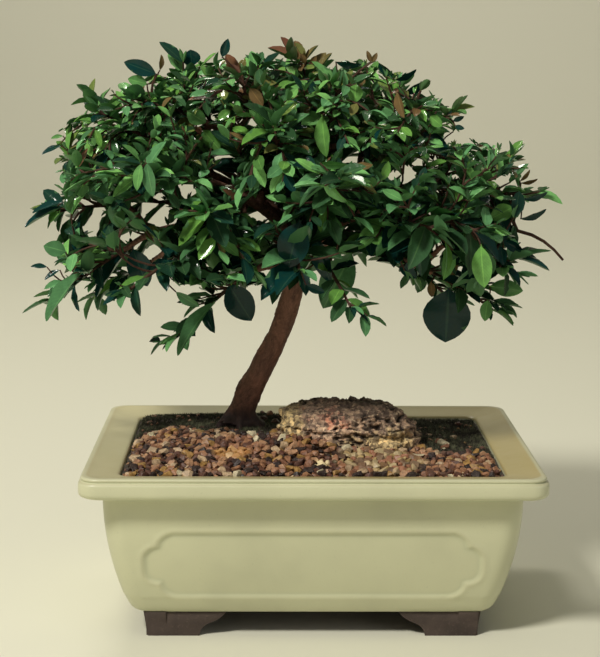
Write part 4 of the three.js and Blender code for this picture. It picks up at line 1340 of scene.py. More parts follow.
class BONSAI_OT_stone(bpy.types.Operator):
    """Builds the weathered stone with its layers, pits and lichen"""

    bl_idname = "bonsai.stone"
    bl_label = "Stone"

    def execute(self, context):
        settings = context.scene.bonsai_stone
        relief = settings.relief / MM
        rough = mesh_of("stone_rough", *skin(stone_rings()), in_row=False)
        turn_outwards(rough)
        stone = voxel_skin("weathered_stone", rough, 0.62, 4)
        mesh = stone.data
        points = points_of(mesh)
        normals = np.array([v.normal for v in mesh.vertices])
        moved = points.copy()
        cavity = np.zeros(len(points))
        crust = np.zeros(len(points))
        for k, (point, normal) in enumerate(zip(points, normals)):
            p = Vector(point)
            steep = 1 - abs(normal[2])
            tilt = p.z + 0.16 * (p.x - STONE_CENTRE.x) + 3.2 * noise.noise(p * 0.06)
            layer = (tilt / 4.1 + 0.5 * noise.noise(p * 0.11)) % 1.0
            ledge = -math.exp(-((layer - 0.5) / 0.13) ** 2) * (0.4 + 0.6 * steep)
            ledge *= smooth_step(noise.noise(p * 0.13 + Vector((9, 4, 2))), -0.35, 0.25)
            near = noise.voronoi(Vector((p.x * 0.1, p.y * 0.1, p.z * 0.17)))[0]
            crack = -math.exp(-((near[1] - near[0]) / 0.05) ** 2) * 0.3
            lumps = noise.fractal(p * 0.13, 0.8, 2.2, 6) * 0.95
            pitted = smooth_step(noise.noise(p * 0.075 + Vector((2, 7, 5))), -0.3, 0.3)
            flat = Vector((p.x, p.y, p.z * 1.9))
            pits = -max(0, noise.noise(flat * 0.27) - 0.12) * 4.2 * pitted
            pits -= max(0, noise.noise(flat * 0.55) - 0.2) * 2.2 * (0.3 + pitted)
            push = ledge + crack + lumps + pits + 0.3 * noise.noise(p * 0.9) + 0.28 * noise.noise(p * 0.5)
            moved[k] += normal * push * relief
            # How deep the point lies in a pit, crack or layer groove, which sets the painted shade
            cavity[k] = max(0, -(ledge + crack + pits))
            left = smooth_step(-(p.x - STONE_CENTRE.x), 14, 30)
            middle = math.exp(-(((p.x - 22) / 16) ** 2 + ((p.z - 82) / 6) ** 2))
            low_right = math.exp(-(((p.x - 36) / 15) ** 2 + ((p.z - 81) / 7) ** 2))
            crust[k] = max(left * 0.9, middle * 0.6, low_right * 0.95)
        set_points(mesh, [to_row(Vector(p)) for p in moved])
        store(mesh, "cavity", "FLOAT", cavity)
        store(mesh, "lichen", "FLOAT", crust)
        store(mesh, "height", "FLOAT", (moved[:, 2] - STONE_CENTRE.z) / STONE_HEIGHT)
        dress(mesh, stone_material(settings))
        shade(mesh)
        settle(stone, "stone")
        return {"FINISHED"}


# The tree's plan, worked out by the same rule as its solids
class Taken:
    """The space that stems and leaves already hold, listed by cells so that a look stays short."""

    CELL = 14

    def __init__(self):
        self.held = []
        self.cells = {}

    def solid(self, points, faces):
        low = [min(p[k] for p in points) for k in range(3)]
        high = [max(p[k] for p in points) for k in range(3)]
        return BVHTree.FromPolygons(points, faces), low, high

    def cells_of(self, low, high):
        first, last = ([math.floor(end[k] / self.CELL) for k in range(3)] for end in (low, high))
        spans = [range(first[k], last[k] + 1) for k in range(3)]
        return [(i, j, k) for i in spans[0] for j in spans[1] for k in spans[2]]

    def is_free(self, points, faces):
        tree, low, high = self.solid(points, faces)
        seen = set()
        for cell in self.cells_of(low, high):
            for number in self.cells.get(cell, ()):
                if number in seen or self.held[number] is None:
                    continue
                seen.add(number)
                other, other_low, other_high = self.held[number]
                if any(low[k] > other_high[k] or high[k] < other_low[k] for k in range(3)):
                    continue
                if tree.overlap(other):
                    return False
        return True

    def keep(self, points, faces):
        solid = self.solid(points, faces)
        for cell in self.cells_of(solid[1], solid[2]):
            self.cells.setdefault(cell, []).append(len(self.held))
        self.held.append(solid)
        return len(self.held) - 1

    def let_go(self, number):
        self.held[number] = None


def crown_reach(u):
    a = CROWN["left"] if u.x < 0 else CROWN["right"]
    b = CROWN["front"] if u.y < 0 else CROWN["back"]
    c = CROWN["low"] if u.z < 0 else CROWN["top"]
    power = CROWN["power"]
    return (abs(u.x / a) ** power + abs(u.y / b) ** power + abs(u.z / c) ** power) ** (-1 / power)


def spray_plans():
    """Where each leafy spray starts and which way it grows: limb ends, outer shell, inner shell, shoots."""
    plans = []
    for route in LIMBS:
        aim = (route[-1] - route[-2]).normalized()
        plans.append({"base": route[-1].copy(), "aim": aim, "length": SPRAY_LENGTH})
    for count, share, lowest, phase, length in (
        (26, 1, -12, 0.4, SPRAY_LENGTH), (6, 0.72, 8, 0.8, INNER_SPRAY_LENGTH),
    ):
        for k in range(count):
            random = repeatable(SEEDS["spray"] + len(plans))
            up = mix(math.sin(math.radians(lowest)), 0.985, (k + 0.5) / count)
            flat = math.sqrt(1 - up * up)
            azimuth = k * GOLDEN_ANGLE + phase + (random() - 0.5) * 0.3
            u = Vector((flat * math.cos(azimuth), flat * math.sin(azimuth), up))
            base = CROWN_CENTRE + u * (crown_reach(u) * share - length - LEAF_OVERHANG)
            aim = (u + UP * mix(-0.35, 0.2, max(0, up))).normalized()
            plans.append({"base": base, "aim": aim, "length": length})
    for place in YOUNG_SHOOT_BASES:
        base = Vector(place)
        aim = ((base - CROWN_CENTRE).normalized() + UP * 0.8).normalized()
        plans.append({"base": base, "aim": aim, "length": YOUNG_SHOOT_LENGTH, "young": True})
    return plans


def branch_origin(plan, limb_curves):
    best = None
    for curve in limb_curves:
        for k in range(2, 10):
            t = k / 10
            point = curve(t)
            towards = plan["base"] - point
            along = heading(curve, t).dot(towards) / towards.length
            cost = towards.length * (1.35 - 0.6 * along)
            if best is None or cost < best[0]:
                best = (cost, point, t, heading(curve, t))
    return best[1:]


def stem_frame(along):
    """The level direction to the left of a stem and the direction out of its upper side."""
    across = UP.cross(along)
    if across.length < 0.25:
        across = Vector((0, -1, 0)).cross(along)
    across.normalize()
    return across, along.cross(across).normalized()


STEM_SWINGS = (
    (0, 0), (0.25, 0), (-0.25, 0), (0, 0.25), (0, -0.25),
    (0.45, 0.2), (-0.45, 0.2), (0.45, -0.2), (-0.45, -0.2),
)


def stem_curve(plan, start, swing):
    across, over = stem_frame(plan["aim"])
    length = plan["length"]
    sag = 0 if plan.get("young") else -length * 0.12
    end = start + plan["aim"] * length + across * (swing[0] * length) + over * (swing[1] * length)
    return bezier(start, start + plan["aim"] * (length / 2), end + UP * sag)


def leaf_section(leaf, share, half_width, keel, fold, thicker):
    left = leaf["up"].cross(leaf["along"])
    droop = -LEAF_BEND * leaf["length"] * share * share
    middle = leaf["base"] + leaf["along"] * (share * leaf["length"]) + leaf["up"] * droop
    return [
        middle + left * (half_width + thicker) + leaf["up"] * fold,
        middle + leaf["up"] * thicker,
        middle - left * (half_width + thicker) + leaf["up"] * fold,
        middle - leaf["up"] * (keel + thicker),
    ]


def loose_leaf(leaf, thicker):
    """Points and faces of a plain leaf, used to find out what it would cross."""
    half, fold = leaf["width"] / 2, 0.2 * leaf["width"]
    points = leaf_section(leaf, 0.05, 0.4, 0.4, 0, thicker)
    points += leaf_section(leaf, 0.36, half * 0.95, LEAF_THICKNESS, fold, thicker)
    points += leaf_section(leaf, 0.7, half * 0.8, LEAF_THICKNESS * 0.8, fold * 0.8, thicker)
    points.append(leaf_section(leaf, 1 + thicker / leaf["length"], 0, 0, 0, 0)[1])
    faces = [(0, 3, 2, 1)]
    for j in range(4):
        after = (j + 1) % 4
        faces.append((j, after, 4 + after, 4 + j))
        faces.append((8 + j, 8 + after, 12))
    for edge, middle in ((0, 1), (2, 1), (0, 3), (2, 3)):
        if (edge == 0) == (middle == 1):
            faces += [(4 + edge, 4 + middle, 8 + middle), (4 + edge, 8 + middle, 8 + edge)]
        else:
            faces += [(4 + edge, 8 + middle, 4 + middle), (4 + edge, 8 + edge, 8 + middle)]
    return points, faces


def leaf_drafts(plan, seed):
    """Opposite pairs up a stem, each turned from the last, and two at the tip."""
    random = repeatable(seed)
    outward = Vector((plan["aim"].x, plan["aim"].y, 0.15)).normalized()
    face = (UP + outward * 0.55).normalized()
    drafts = []
    for pair, share in enumerate(plan["shares"]):
        tangent = heading(plan["stem"], share)
        across, over = stem_frame(tangent)
        turn = math.radians(38 if pair % 2 == 0 else -22) + (random() - 0.5) * 0.5
        spread = math.radians(mix(64, 40, share)) + (random() - 0.5) * 0.2
        size = plan["leaf_scale"] * mix(1.04, 0.84, share) * mix(0.86, 1.14, random())
        two = []
        for side in (1, -1):
            wobble = (random() - 0.5) * 0.3
            roll = (random() - 0.5) * 0.9
            sag = 0 if plan.get("young") else mix(0.08, 0.32, random())
            base = plan["stem"](share) + across * (side * TWIG_RADIUS * 0.5)
            two.append({
                "base": base, "tangent": tangent, "across": across, "over": over, "face": face, "side": side,
                "turn": turn * side, "spread": spread + wobble, "roll": roll, "sag": sag, "size": size,
            })
        drafts.append(two)
    return drafts


TRIES = [
    (aside, opened, shrink)
    for shrink in (1, 0.85, 0.7) for aside in (0, 0.35, -0.35, 0.7, -0.7, 1.05) for opened in (0, 0.3, -0.3)
]


def settled_leaf(draft, aside, opened, shrink):
    """A leaf as drafted, or bent aside by a later try."""
    turn, spread = draft["turn"] + aside, draft["spread"] + opened
    along = draft["tangent"] * math.cos(spread)
    along += draft["across"] * (draft["side"] * math.sin(spread) * math.cos(turn))
    along += draft["over"] * (math.sin(spread) * math.sin(turn) * draft["side"])
    along.z -= draft["sag"]
    along.normalize()
    up = (draft["face"] - along * draft["face"].dot(along)).normalized()
    up = Matrix.Rotation(draft["roll"], 3, along) @ up
    scale = draft["size"] * shrink
    return {
        "base": draft["base"], "along": along, "up": up,
        "length": LEAF_LENGTH * scale, "width": LEAF_WIDTH * scale,
    }


def place_on(leaf, share):
    """The place at a share of a leaf's length, without its droop."""
    return leaf["base"] + leaf["along"] * (leaf["length"] * share)


def first_free(draft, taken, tries, may_stand=None):
    for change in tries:
        leaf = settled_leaf(draft, *change)
        if may_stand and not all(may_stand(place_on(leaf, share)) for share in (0.3, 0.65, 1)):
            continue
        if taken.is_free(*loose_leaf(leaf, 0.2)):
            leaf["held"] = taken.keep(*loose_leaf(leaf, 0))
            return leaf
    return None


def free_leaves(plan, seed, taken, tries, may_stand=None):
    """The drafted leaves of a stem that find a free place."""
    drafts = [draft for pair in leaf_drafts(plan, seed) for draft in pair]
    return [leaf for draft in drafts if (leaf := first_free(draft, taken, tries, may_stand))]


def trunk_radius(t, angle):
    shaft = mix(SHAFT_RADIUS, SHAFT_RADIUS * 0.62, t)
    flare = (TRUNK_FOOT_RADIUS - SHAFT_RADIUS) * math.exp(-t * 17)
    lobes = 1 + 0.32 * math.exp(-t * 14) * math.cos(3 * angle + 0.6)
    knots = 1 + 0.05 * math.sin(t * 31 + 2 * angle)
    return (shaft * knots + flare) * lobes


def plan_wood(taken):
    """The curves of the trunk, the limbs and the branches, and the plans of the sprays that they carry."""
    taken.keep(*tube(smooth_curve(TRUNK_ROUTE), 11, trunk_radius, 9))
    wood = [(smooth_curve(TRUNK_ROUTE), trunk_radius, 80, 28)]
    limb_curves = [smooth_curve(route) for route in LIMBS]
    limb_radius = lambda t, angle=0: mix(LIMB_ROOT_RADIUS, TIP_RADIUS, t**0.8)
    for curve in limb_curves:
        taken.keep(*tube(curve, 5, limb_radius, 5))
        wood.append((curve, limb_radius, 40, 12))
    plans = spray_plans()
    for plan in plans[len(LIMBS):]:
        point, t, tangent = branch_origin(plan, limb_curves)
        root = max(limb_radius(t) * 0.85, TIP_RADIUS + 0.2)
        span = (plan["base"] - point).length
        before = plan["base"] - plan["aim"] * span * 0.35
        curve = bezier(point, point + tangent * span * 0.35, before, plan["base"])
        radius_at = lambda t, angle=0, root=root: mix(root, TIP_RADIUS, t)
        taken.keep(*tube(curve, 2, radius_at, 4))
        wood.append((curve, radius_at, 18, 10))
    return wood, plans


def plan_tree():
    """The wood's curves and every spray with its stem and leaves."""
    taken = Taken()
    wood, plans = plan_wood(taken)
    for plan in plans:
        start = plan["base"] + plan["aim"] * SEAT_GAP
        further = start + plan["aim"] * (2 * SEAT_GAP)
        free = [
            swing for swing in STEM_SWINGS
            if taken.is_free(*thin_tube(stem_curve(plan, further, swing), TWIG_RADIUS * 1.6))
        ]
        plan["stem"] = stem_curve(plan, start, free[0] if free else (0, 0))
        young = plan.get("young")
        plan["shares"] = YOUNG_PAIR_SHARES if young else PAIR_SHARES
        plan["leaf_scale"] = 0.55 if young else 1
        taken.keep(*thin_tube(plan["stem"], TWIG_RADIUS * 1.25))
    for index, plan in enumerate(plans):
        plan["leaves"] = free_leaves(plan, SEEDS["leaf"] + index, taken, TRIES)
    return wood, plans, taken


# Finer growth on the same sprays
def leaves_sky_open(point, clearance):
    """True outside the open places of the crown, each grown by a clearance."""
    u, v = seen_at(point)
    limit = clearance * clearance
    return all(((u - x) / wide) ** 2 + ((v - y) / high) ** 2 > limit for x, y, wide, high in SKY_GAPS)


def inside_outline(point):
    u, v = seen_at(point)
    inside = False
    for (x0, y0), (x1, y1) in zip(CROWN_OUTLINE, CROWN_OUTLINE[1:] + CROWN_OUTLINE[:1]):
        if (y0 > v) != (y1 > v) and u < x0 + (v - y0) * (x1 - x0) / (y1 - y0):
            inside = not inside
    return inside


def opened(leaf, taken):
    """A leaf of a spray, drawn smaller high up and past the outline, and turned aside from an open place."""
    size = mix(1, 0.78, smooth_step(leaf["base"].z, 175, 212))
    if not inside_outline(place_on(leaf, 0.72)):
        size *= 0.6
    if leaf["length"] < SMALL_SPRAY_LEAF * LEAF_LENGTH:
        size = SMALL_SPRAY_LEAF_SIZE
    leaf = dict(leaf, length=leaf["length"] * size, width=leaf["width"] * size)
    stands_clear = lambda some: all(
        leaves_sky_open(place_on(some, share), SPRAY_CLEARANCE) for share in (0.25, 0.5, 0.75, 1)
    )
    if stands_clear(leaf):
        return leaf
    taken.let_go(leaf["held"])
    for about, angle in SKY_TURNS:
        axis = leaf["up"] if about == "up" else leaf["along"].cross(leaf["up"])
        turn = Matrix.Rotation(math.radians(angle), 3, axis)
        other = dict(leaf, along=(turn @ leaf["along"]).normalized(), up=(turn @ leaf["up"]).normalized())
        if stands_clear(other) and taken.is_free(*loose_leaf(other, 0.1)):
            leaf = other
            break
    leaf["held"] = taken.keep(*loose_leaf(leaf, 0))
    return leaf


def hides(point, shown):
    """True where a leaf would stand before one that is seen whole in the photograph."""
    u, v = seen_at(point)
    return any(
        point.y < y + 3 and ((u - x) / wide) ** 2 + ((v - z) / high) ** 2 < 1
        for x, z, wide, high, y in shown
    )


def in_crown(point):
    """True inside the crown's outline and outside its open places."""
    return inside_outline(point) and leaves_sky_open(point, FILL_CLEARANCE)


def twig_ends(random):
    """Evenly spread places for the ends of the filling twigs, more of them near the crown's outside."""
    ends, cells = [], {}
    for _ in range(FILL_DARTS):
        up = mix(-1, 1, random())
        azimuth = 2 * math.pi * random()
        flat = math.sqrt(1 - up * up)
        u = Vector((flat * math.cos(azimuth), flat * math.sin(azimuth), up))
        share = mix(0.3, 1, random() ** 0.55)
        end = CROWN_CENTRE + u * (crown_reach(u) * share - FILL_OVERHANG)
        cell = tuple(math.floor(end[k] / FILL_SPACING) for k in range(3))
        near = [
            other for i in (-1, 0, 1) for j in (-1, 0, 1) for k in (-1, 0, 1)
            for other in cells.get((cell[0] + i, cell[1] + j, cell[2] + k), ())
        ]
        if any((end - other).length < FILL_SPACING for other in near) or not in_crown(end):
            continue
        cells.setdefault(cell, []).append(end)
        ends.append(end)
    return ends


def wood_samples(wood, plans):
    """Places along the limbs, branches and spray stems from which a twig may grow."""
    samples = []
    for group, (curve, *_) in enumerate(wood[1:]):
        samples += [(curve(k / 24), heading(curve, k / 24), group) for k in range(4, 24)]
    for group, plan in enumerate(plans):
        samples += [(plan["stem"](k / 6), heading(plan["stem"], k / 6), group) for k in range(6)]
    return samples


def twig_between(start, tangent, end):
    towards = (end - start).normalized()
    bend = (tangent * 0.5 + towards * 0.6).normalized()
    return bezier(start, start + bend * ((end - start).length * 0.5), end)


def marked_twigs(wood, plans, taken):
    """The leaves that stand out in the photograph, each on its twig, and where each is seen."""
    samples = wood_samples(wood, plans)
    twigs, shown = [], []
    for u, v, tip_u, tip_v, wide, colour, on_face in MARKED_LEAVES:
        sight = (behind_pixel(u, v, 0) - CAMERA_PLACE).normalized()
        best = None
        for point, tangent, _ in samples:
            depth = (point - CAMERA_PLACE).dot(sight)
            aside = (point - CAMERA_PLACE - sight * depth).length
            cost = aside + (point.y + 60) * (0.2 if on_face == 1 else 0.06)
            if best is None or cost < best[0]:
                best = (cost, depth, point, tangent)
        for step in range(16 if on_face else 8):
            far = best[1] - 2 - MARKED_STEP * step
            base = CAMERA_PLACE + sight * far
            tip = behind_pixel(tip_u, tip_v, base.y - 2)
            along = (tip - base).normalized()
            length = (tip - base).length
            seen = wide / FOCAL_PIXELS * far
            full = max(seen, 0.4 * length)
            view = (CAMERA_PLACE - base).normalized()
            up = (view - along * view.dot(along)).normalized()
            up = Matrix.Rotation(math.acos(min(1, seen / full)) * 0.9 + 0.12, 3, along) @ up
            leaf = {
                "base": base, "along": along, "up": -up if colour == "pale" else up, "length": length,
                "width": full, "look": MARKED_COLOURS[colour],
            }
            if taken.is_free(*loose_leaf(leaf, 0.1)):
                break
        taken.keep(*loose_leaf(leaf, 0))
        stem = twig_between(best[2], best[3], base)
        twigs.append({"stem": stem, "radius": FILL_RADIUS * 0.9, "leaves": [leaf]})
        middle = seen_at(base.lerp(tip, 0.5))
        reach = max(6, math.hypot(tip_u - u, tip_v - v) * 0.5)
        shown.append((
            middle[0], middle[1], mix(wide / 2, reach, abs(tip_u - u) / (2 * reach)) + 2,
            mix(wide / 2, reach, abs(tip_v - v) / (2 * reach)) + 2, min(base.y, tip.y),
        ))
    first = behind_pixel(*BARE_TWIG[0], 0)
    near = min(samples, key=lambda sample: (sample[0] - first).length)
    route = [near[0]] + [behind_pixel(u, v, near[0].y) for u, v in BARE_TWIG]
    twigs.append({"stem": smooth_curve(route), "radius": 0.95, "leaves": []})
    return twigs, shown


def filling_twigs(wood, plans, taken, shown):
    """Leafy twigs that close the crown: each grows from the nearest wood to a free place."""
    random = repeatable(SEEDS["fill"])
    samples = wood_samples(wood, plans)
    may_stand = lambda point: in_crown(point) and not hides(point, shown)
    waiting = twig_ends(random)
    twigs = []
    for _ in range(FILL_ROUNDS):
        tree = search_tree([sample[0] for sample in samples])
        left_over = []
        for end in waiting:
            best = None
            for _, k, far in tree.find_n(end, FILL_CHOICES):
                towards = (end - samples[k][0]) / max(far, 0.01)
                cost = far * (1.5 - 0.7 * samples[k][1].dot(towards))
                if FILL_REACH[0] < far < FILL_REACH[1] and (best is None or cost < best[0]):
                    best = (cost, k, towards)
            if best is None:
                left_over.append(end)
                continue
            start, tangent, group = samples[best[1]]
            curve = twig_between(start, tangent, end)
            stem = thin_tube(lambda t: curve(mix(0.35, 1, t)), FILL_RADIUS)
            clear = all(leaves_sky_open(curve(t), TWIG_CLEARANCE) for t in (0.3, 0.6, 0.85))
            if not clear or not taken.is_free(*stem):
                left_over.append(end)
                continue
            size = mix(0.66, 0.4, smooth_step(end.z, 165, 222)) * mix(0.85, 1.15, random())
            twig = {
                "stem": curve, "aim": best[2], "shares": (0.45, 0.72, 1), "leaf_scale": size,
                "radius": FILL_RADIUS, "fill": True,
            }
            twig["leaves"] = free_leaves(twig, SEEDS["fill_leaf"] + len(twigs), taken, FILL_TRIES, may_stand)
            if len(twig["leaves"]) < 2:
                left_over.append(end)
                continue
            taken.keep(*stem)
            twig["group"] = group % FILL_GROUPS
            twigs.append(twig)
            samples += [(curve(k / 4), heading(curve, k / 4), group) for k in range(1, 4)]
        waiting = left_over
    return twigs


def side_shoots(plan, index, taken, shown):
    """Small side shoots in the leaf axils, each with pairs of smaller leaves."""
    random = repeatable(SEEDS["side_shoot"] + index)
    may_stand = lambda point: leaves_sky_open(point, FILL_CLEARANCE) and not hides(point, shown)
    shoots = []
    young = plan.get("young", False)
    for k, share in enumerate(YOUNG_SIDE_SHOOT_PLACES if young else SIDE_SHOOT_PLACES):
        if random() < EMPTY_AXIL_SHARE:
            continue
        tangent = heading(plan["stem"], share)
        across, over = stem_frame(tangent)
        side = 1 if (k + index) % 2 else -1
        lift = mix(-0.25, 0.95, random())
        aim = (tangent * 0.75 + across * side * mix(0.45, 0.95, random()) + over * lift).normalized()
        length = mix(7, 13, random()) * (0.6 if young else 1)
        start = plan["stem"](share)
        end = start + aim * length + UP * (-0.06 * length)
        shoot = {
            "aim": aim, "stem": bezier(start, start + aim * length / 2, end), "shares": (0.45, 0.78, 1),
            "leaf_scale": mix(0.42, 0.66, random()), "young": young, "radius": SIDE_SHOOT_RADIUS,
        }
        seed = SEEDS["side_leaf"] + 10 * index + k
        shoot["leaves"] = free_leaves(shoot, seed, taken, TRIES[:SIDE_TRIES], may_stand)
        if shoot["leaves"]:
            shoots.append(shoot)
    return shoots


def bud_pair(plan, seed):
    """The narrow half-opened pair at the end of a shoot."""
    random = repeatable(seed)
    tip = plan["stem"](1)
    aim = heading(plan["stem"], 1)
    across, over = stem_frame(aim)
    leaves = []
    for side in (1, -1):
        along = (aim + across * side * 0.28 + over * (0.25 + 0.2 * random())).normalized()
        up = (over - along * over.dot(along)).normalized()
        size = plan["leaf_scale"] * mix(0.3, 0.45, random())
        leaves.append({
            "base": tip, "along": along, "up": up, "bud": True, "length": LEAF_LENGTH * size,
            "width": LEAF_WIDTH * size * 0.62,
        })
    return leaves


LEAF_ROWS = (
    (0.0, 0.0), (0.09, 0.38), (0.25, 0.86), (0.46, 1.04), (0.68, 0.92), (0.88, 0.5), (1.0, 0.0),
)
SMALL_LEAF_ROWS = ((0.0, 0.0), (0.11, 0.46), (0.31, 0.97), (0.58, 1.04), (0.84, 0.64), (1.0, 0.0))
FINE_LEAF_ROWS = (
    (0.0, 0.0), (0.04, 0.16), (0.1, 0.4), (0.18, 0.66), (0.28, 0.87), (0.4, 1.0), (0.52, 1.02),
    (0.64, 0.94), (0.75, 0.79), (0.84, 0.6), (0.91, 0.39), (0.965, 0.16), (1.0, 0.0),
)
LEAF_COLUMNS = (-1, -0.5, 0, 0.5, 1)
GROWN_KINDS = 4
HALF_OPENED_KIND = 4
FIRST_SMALL_KIND, SMALL_KINDS = 5, 3
FIRST_FINE_KIND, FINE_KINDS = 8, 2
SMALL_LEAF_COLUMNS = (-1, 0, 1)


def leaf_mesh(name, bend, fold, wave, sweep, rows, columns):
    """A thin closed leaf one unit long and wide: a folded blade with a raised rib and a short stalk."""
    points, faces, uvs = [], [], []
    strips = len(columns) - 1
    top, low = [], []
    for share, wide in rows:
        droop = -bend * share * share
        aside = sweep * share * share
        if wide == 0:
            points.append(Vector((aside, share, droop)))
            for sheet in (top, low):
                sheet.append([len(points) - 1] * len(columns))
            continue
        upper, under = [], []
        for c in columns:
            ripple = wave * math.sin(share * 13 + c * 1.7) * abs(c)
            height = fold * abs(c) ** 1.2 * wide + ripple + droop
            points.append(Vector((aside + 0.5 * c * wide, share, height)))
            upper.append(len(points) - 1)
        for k, c in enumerate(columns):
            if abs(c) == 1:
                under.append(upper[k])
                continue
            drop = 0.022 if c == 0 else 0.014
            points.append(points[upper[k]] - Vector((0, 0, drop)))
            under.append(len(points) - 1)
        top.append(upper)
        low.append(under)
    for row in range(len(rows) - 1):
        for k in range(strips):
            for sheet, turned, side in ((top, False, 0), (low, True, 1)):
                face, spots = [], []
                for i, j in ((row, k), (row, k + 1), (row + 1, k + 1), (row + 1, k)):
                    if sheet[i][j] not in face:
                        face.append(sheet[i][j])
                        spots.append((side + j / strips, rows[i][0]))
                faces.append(tuple(reversed(face)) if turned else tuple(face))
                uvs.append(list(reversed(spots)) if turned else spots)
    stalk_points, stalk_faces = skin([
        [Vector((0.045 * math.cos(a), y, 0.018 * math.sin(a) - 0.012)) for a in (0.5, 2.6, 4.7)]
        for y in (-0.03, 0.14)
    ])
    start = len(points)
    points += stalk_points
    for face in stalk_faces:
        faces.append(tuple(start + k for k in face))
        uvs.append([(0.5, 0.0)] * len(face))
    mesh = bpy.data.meshes.new(name)
    mesh.from_pydata(points, [], faces)
    layer = mesh.uv_layers.new(name="leaf_map")
    flat = [value for face in uvs for spot in face for value in spot]
    layer.data.foreach_set("uv", flat)
    mesh.update()
    shade(mesh, 75)
    return mesh


def leaf_shapes():
    """Four grown leaves, a half-opened one, three small ones and two fine ones, by their kinds."""
    grown, small = (LEAF_ROWS, LEAF_COLUMNS), (SMALL_LEAF_ROWS, SMALL_LEAF_COLUMNS)
    fine = (FINE_LEAF_ROWS, LEAF_COLUMNS)
    forms = (
        (0.12, 0.09, 0.0, 0.0, *grown), (0.2, 0.13, 0.012, 0.03, *grown), (0.1, 0.07, 0.02, -0.03, *grown),
        (0.16, 0.05, 0.01, 0.05, *grown), (-0.06, 0.16, 0.0, 0.0, *grown), (0.1, 0.1, 0.0, 0.0, *small),
        (0.2, 0.14, 0.0, 0.04, *small), (0.0, 0.06, 0.0, -0.04, *small), (0.1, 0.1, 0.014, 0.03, *fine),
        (0.14, 0.07, 0.01, -0.04, *fine),
    )
    return [leaf_mesh(f"leaf_{k}", *form) for k, form in enumerate(forms)]


def leaf_age(point, random, small):
    """0 for a grown leaf, about 0.4 for fresh green, near 1 for bronze: more of them high up, in patches."""
    high = smooth_step(point.z, 185, 240)
    patch = noise.noise(point * 0.05 + Vector((3, 8, 1)))
    bronze = (0.01 + 0.16 * high) * (3 if patch > 0.2 else 0.6) * (1 if small else 0.1)
    fresh = (0.11 + 0.12 * high) * (2.4 if patch < -0.15 else 0.8) * (1 if small else 0.2)
    draw = random()
    if draw < bronze:
        return mix(0.7, 1, random())
    if draw < bronze + fresh:
        return mix(0.15, 0.55, random())
    return 0


def leaf_material(settings):
    paint = Paint("glossy_leaf")
    spot = paint.node("ShaderNodeUVMap", uv_map="leaf_map").outputs[0]
    parts = paint.node("ShaderNodeSeparateXYZ", {0: spot})
    across, along = parts.outputs[0], parts.outputs[1]
    under = paint.math("GREATER_THAN", across, 1.001)
    across = paint.math("SUBTRACT", across, under)
    from_rib = paint.math("ABSOLUTE", paint.math("SUBTRACT", across, 0.5))
    tone = paint.attribute("tone")
    age = paint.attribute("age")
    leaf = Vector(settings.leaf)
    # Each leaf's tone differs at random, but its ramp is painted light and shade: a bluish near-black painted
    # shade at the dark end, darker and lighter copies of the leaf's colour between, and a painted light
    # yellow-green at the top
    dark = Vector((leaf.x * 0.05, leaf.y * 0.2, leaf.z * 0.48))
    grown = paint.ramp(tone, [
        (0, dark), (0.28, leaf * 0.36), (0.54, leaf * 1.1), (0.78, leaf * 2.1), (1, (0.24, 0.55, 0.14)),
    ])
    colour = paint.ramp(age, [(0.0, (0, 0, 0)), (0.5, (1, 1, 1))])
    colour = paint.blend(colour, grown, settings.fresh_leaf)
    colour = paint.over(colour, settings.young_leaf, age, 0.55, 1.0)
    mottle = paint.noise(paint.place(), 260, 4)
    colour = paint.over(colour, leaf * 0.25, mottle, 0.35, 0.7, 0.35)
    slanted = paint.math("SUBTRACT", along, paint.math("MULTIPLY", from_rib, 0.5))
    vein_line = paint.levels(paint.math("SINE", paint.math("MULTIPLY", slanted, 75.0)), 0.8, 1.0, 0, 0.16)
    rib = paint.levels(from_rib, 0.012, 0.045, 0.5, 0)
    pale = paint.blend(1.0, colour, (2.0, 1.9, 1.7), "MULTIPLY")
    colour = paint.blend(vein_line, colour, pale)
    colour = paint.blend(rib, colour, paint.blend(1.0, pale, (0.03, 0.035, 0.01), "ADD"))
    colour = paint.share_blend(under, 0.75, colour, leaf + Vector((0.012, 0.02, 0.008)))
    roughness = paint.math("ADD", paint.math("MULTIPLY", under, 0.25), settings.leaf_gloss)
    groove = paint.bump(paint.math("ADD", vein_line, rib), 0.35, 0.12 * MM)
    waves = paint.bump(paint.noise(paint.place(), 380, 2), 0.6, 0.42 * MM, groove)
    return paint.finish(colour, roughness, waves, specular=0.06, coat=0.3, coat_roughness=0.06)


def twig_material(settings):
    paint = Paint("twig_bark")
    bark = Vector(settings.bark)
    streaks = paint.noise(paint.place((1, 1, 0.5)), 500, 4)
    colour = paint.ramp(streaks, [(0.3, bark * 0.2), (0.55, bark * 0.42), (0.75, (0.07, 0.055, 0.024))])
    return paint.finish(colour, 0.75, paint.bump(streaks, 0.4, 0.15 * MM), specular=0.25)


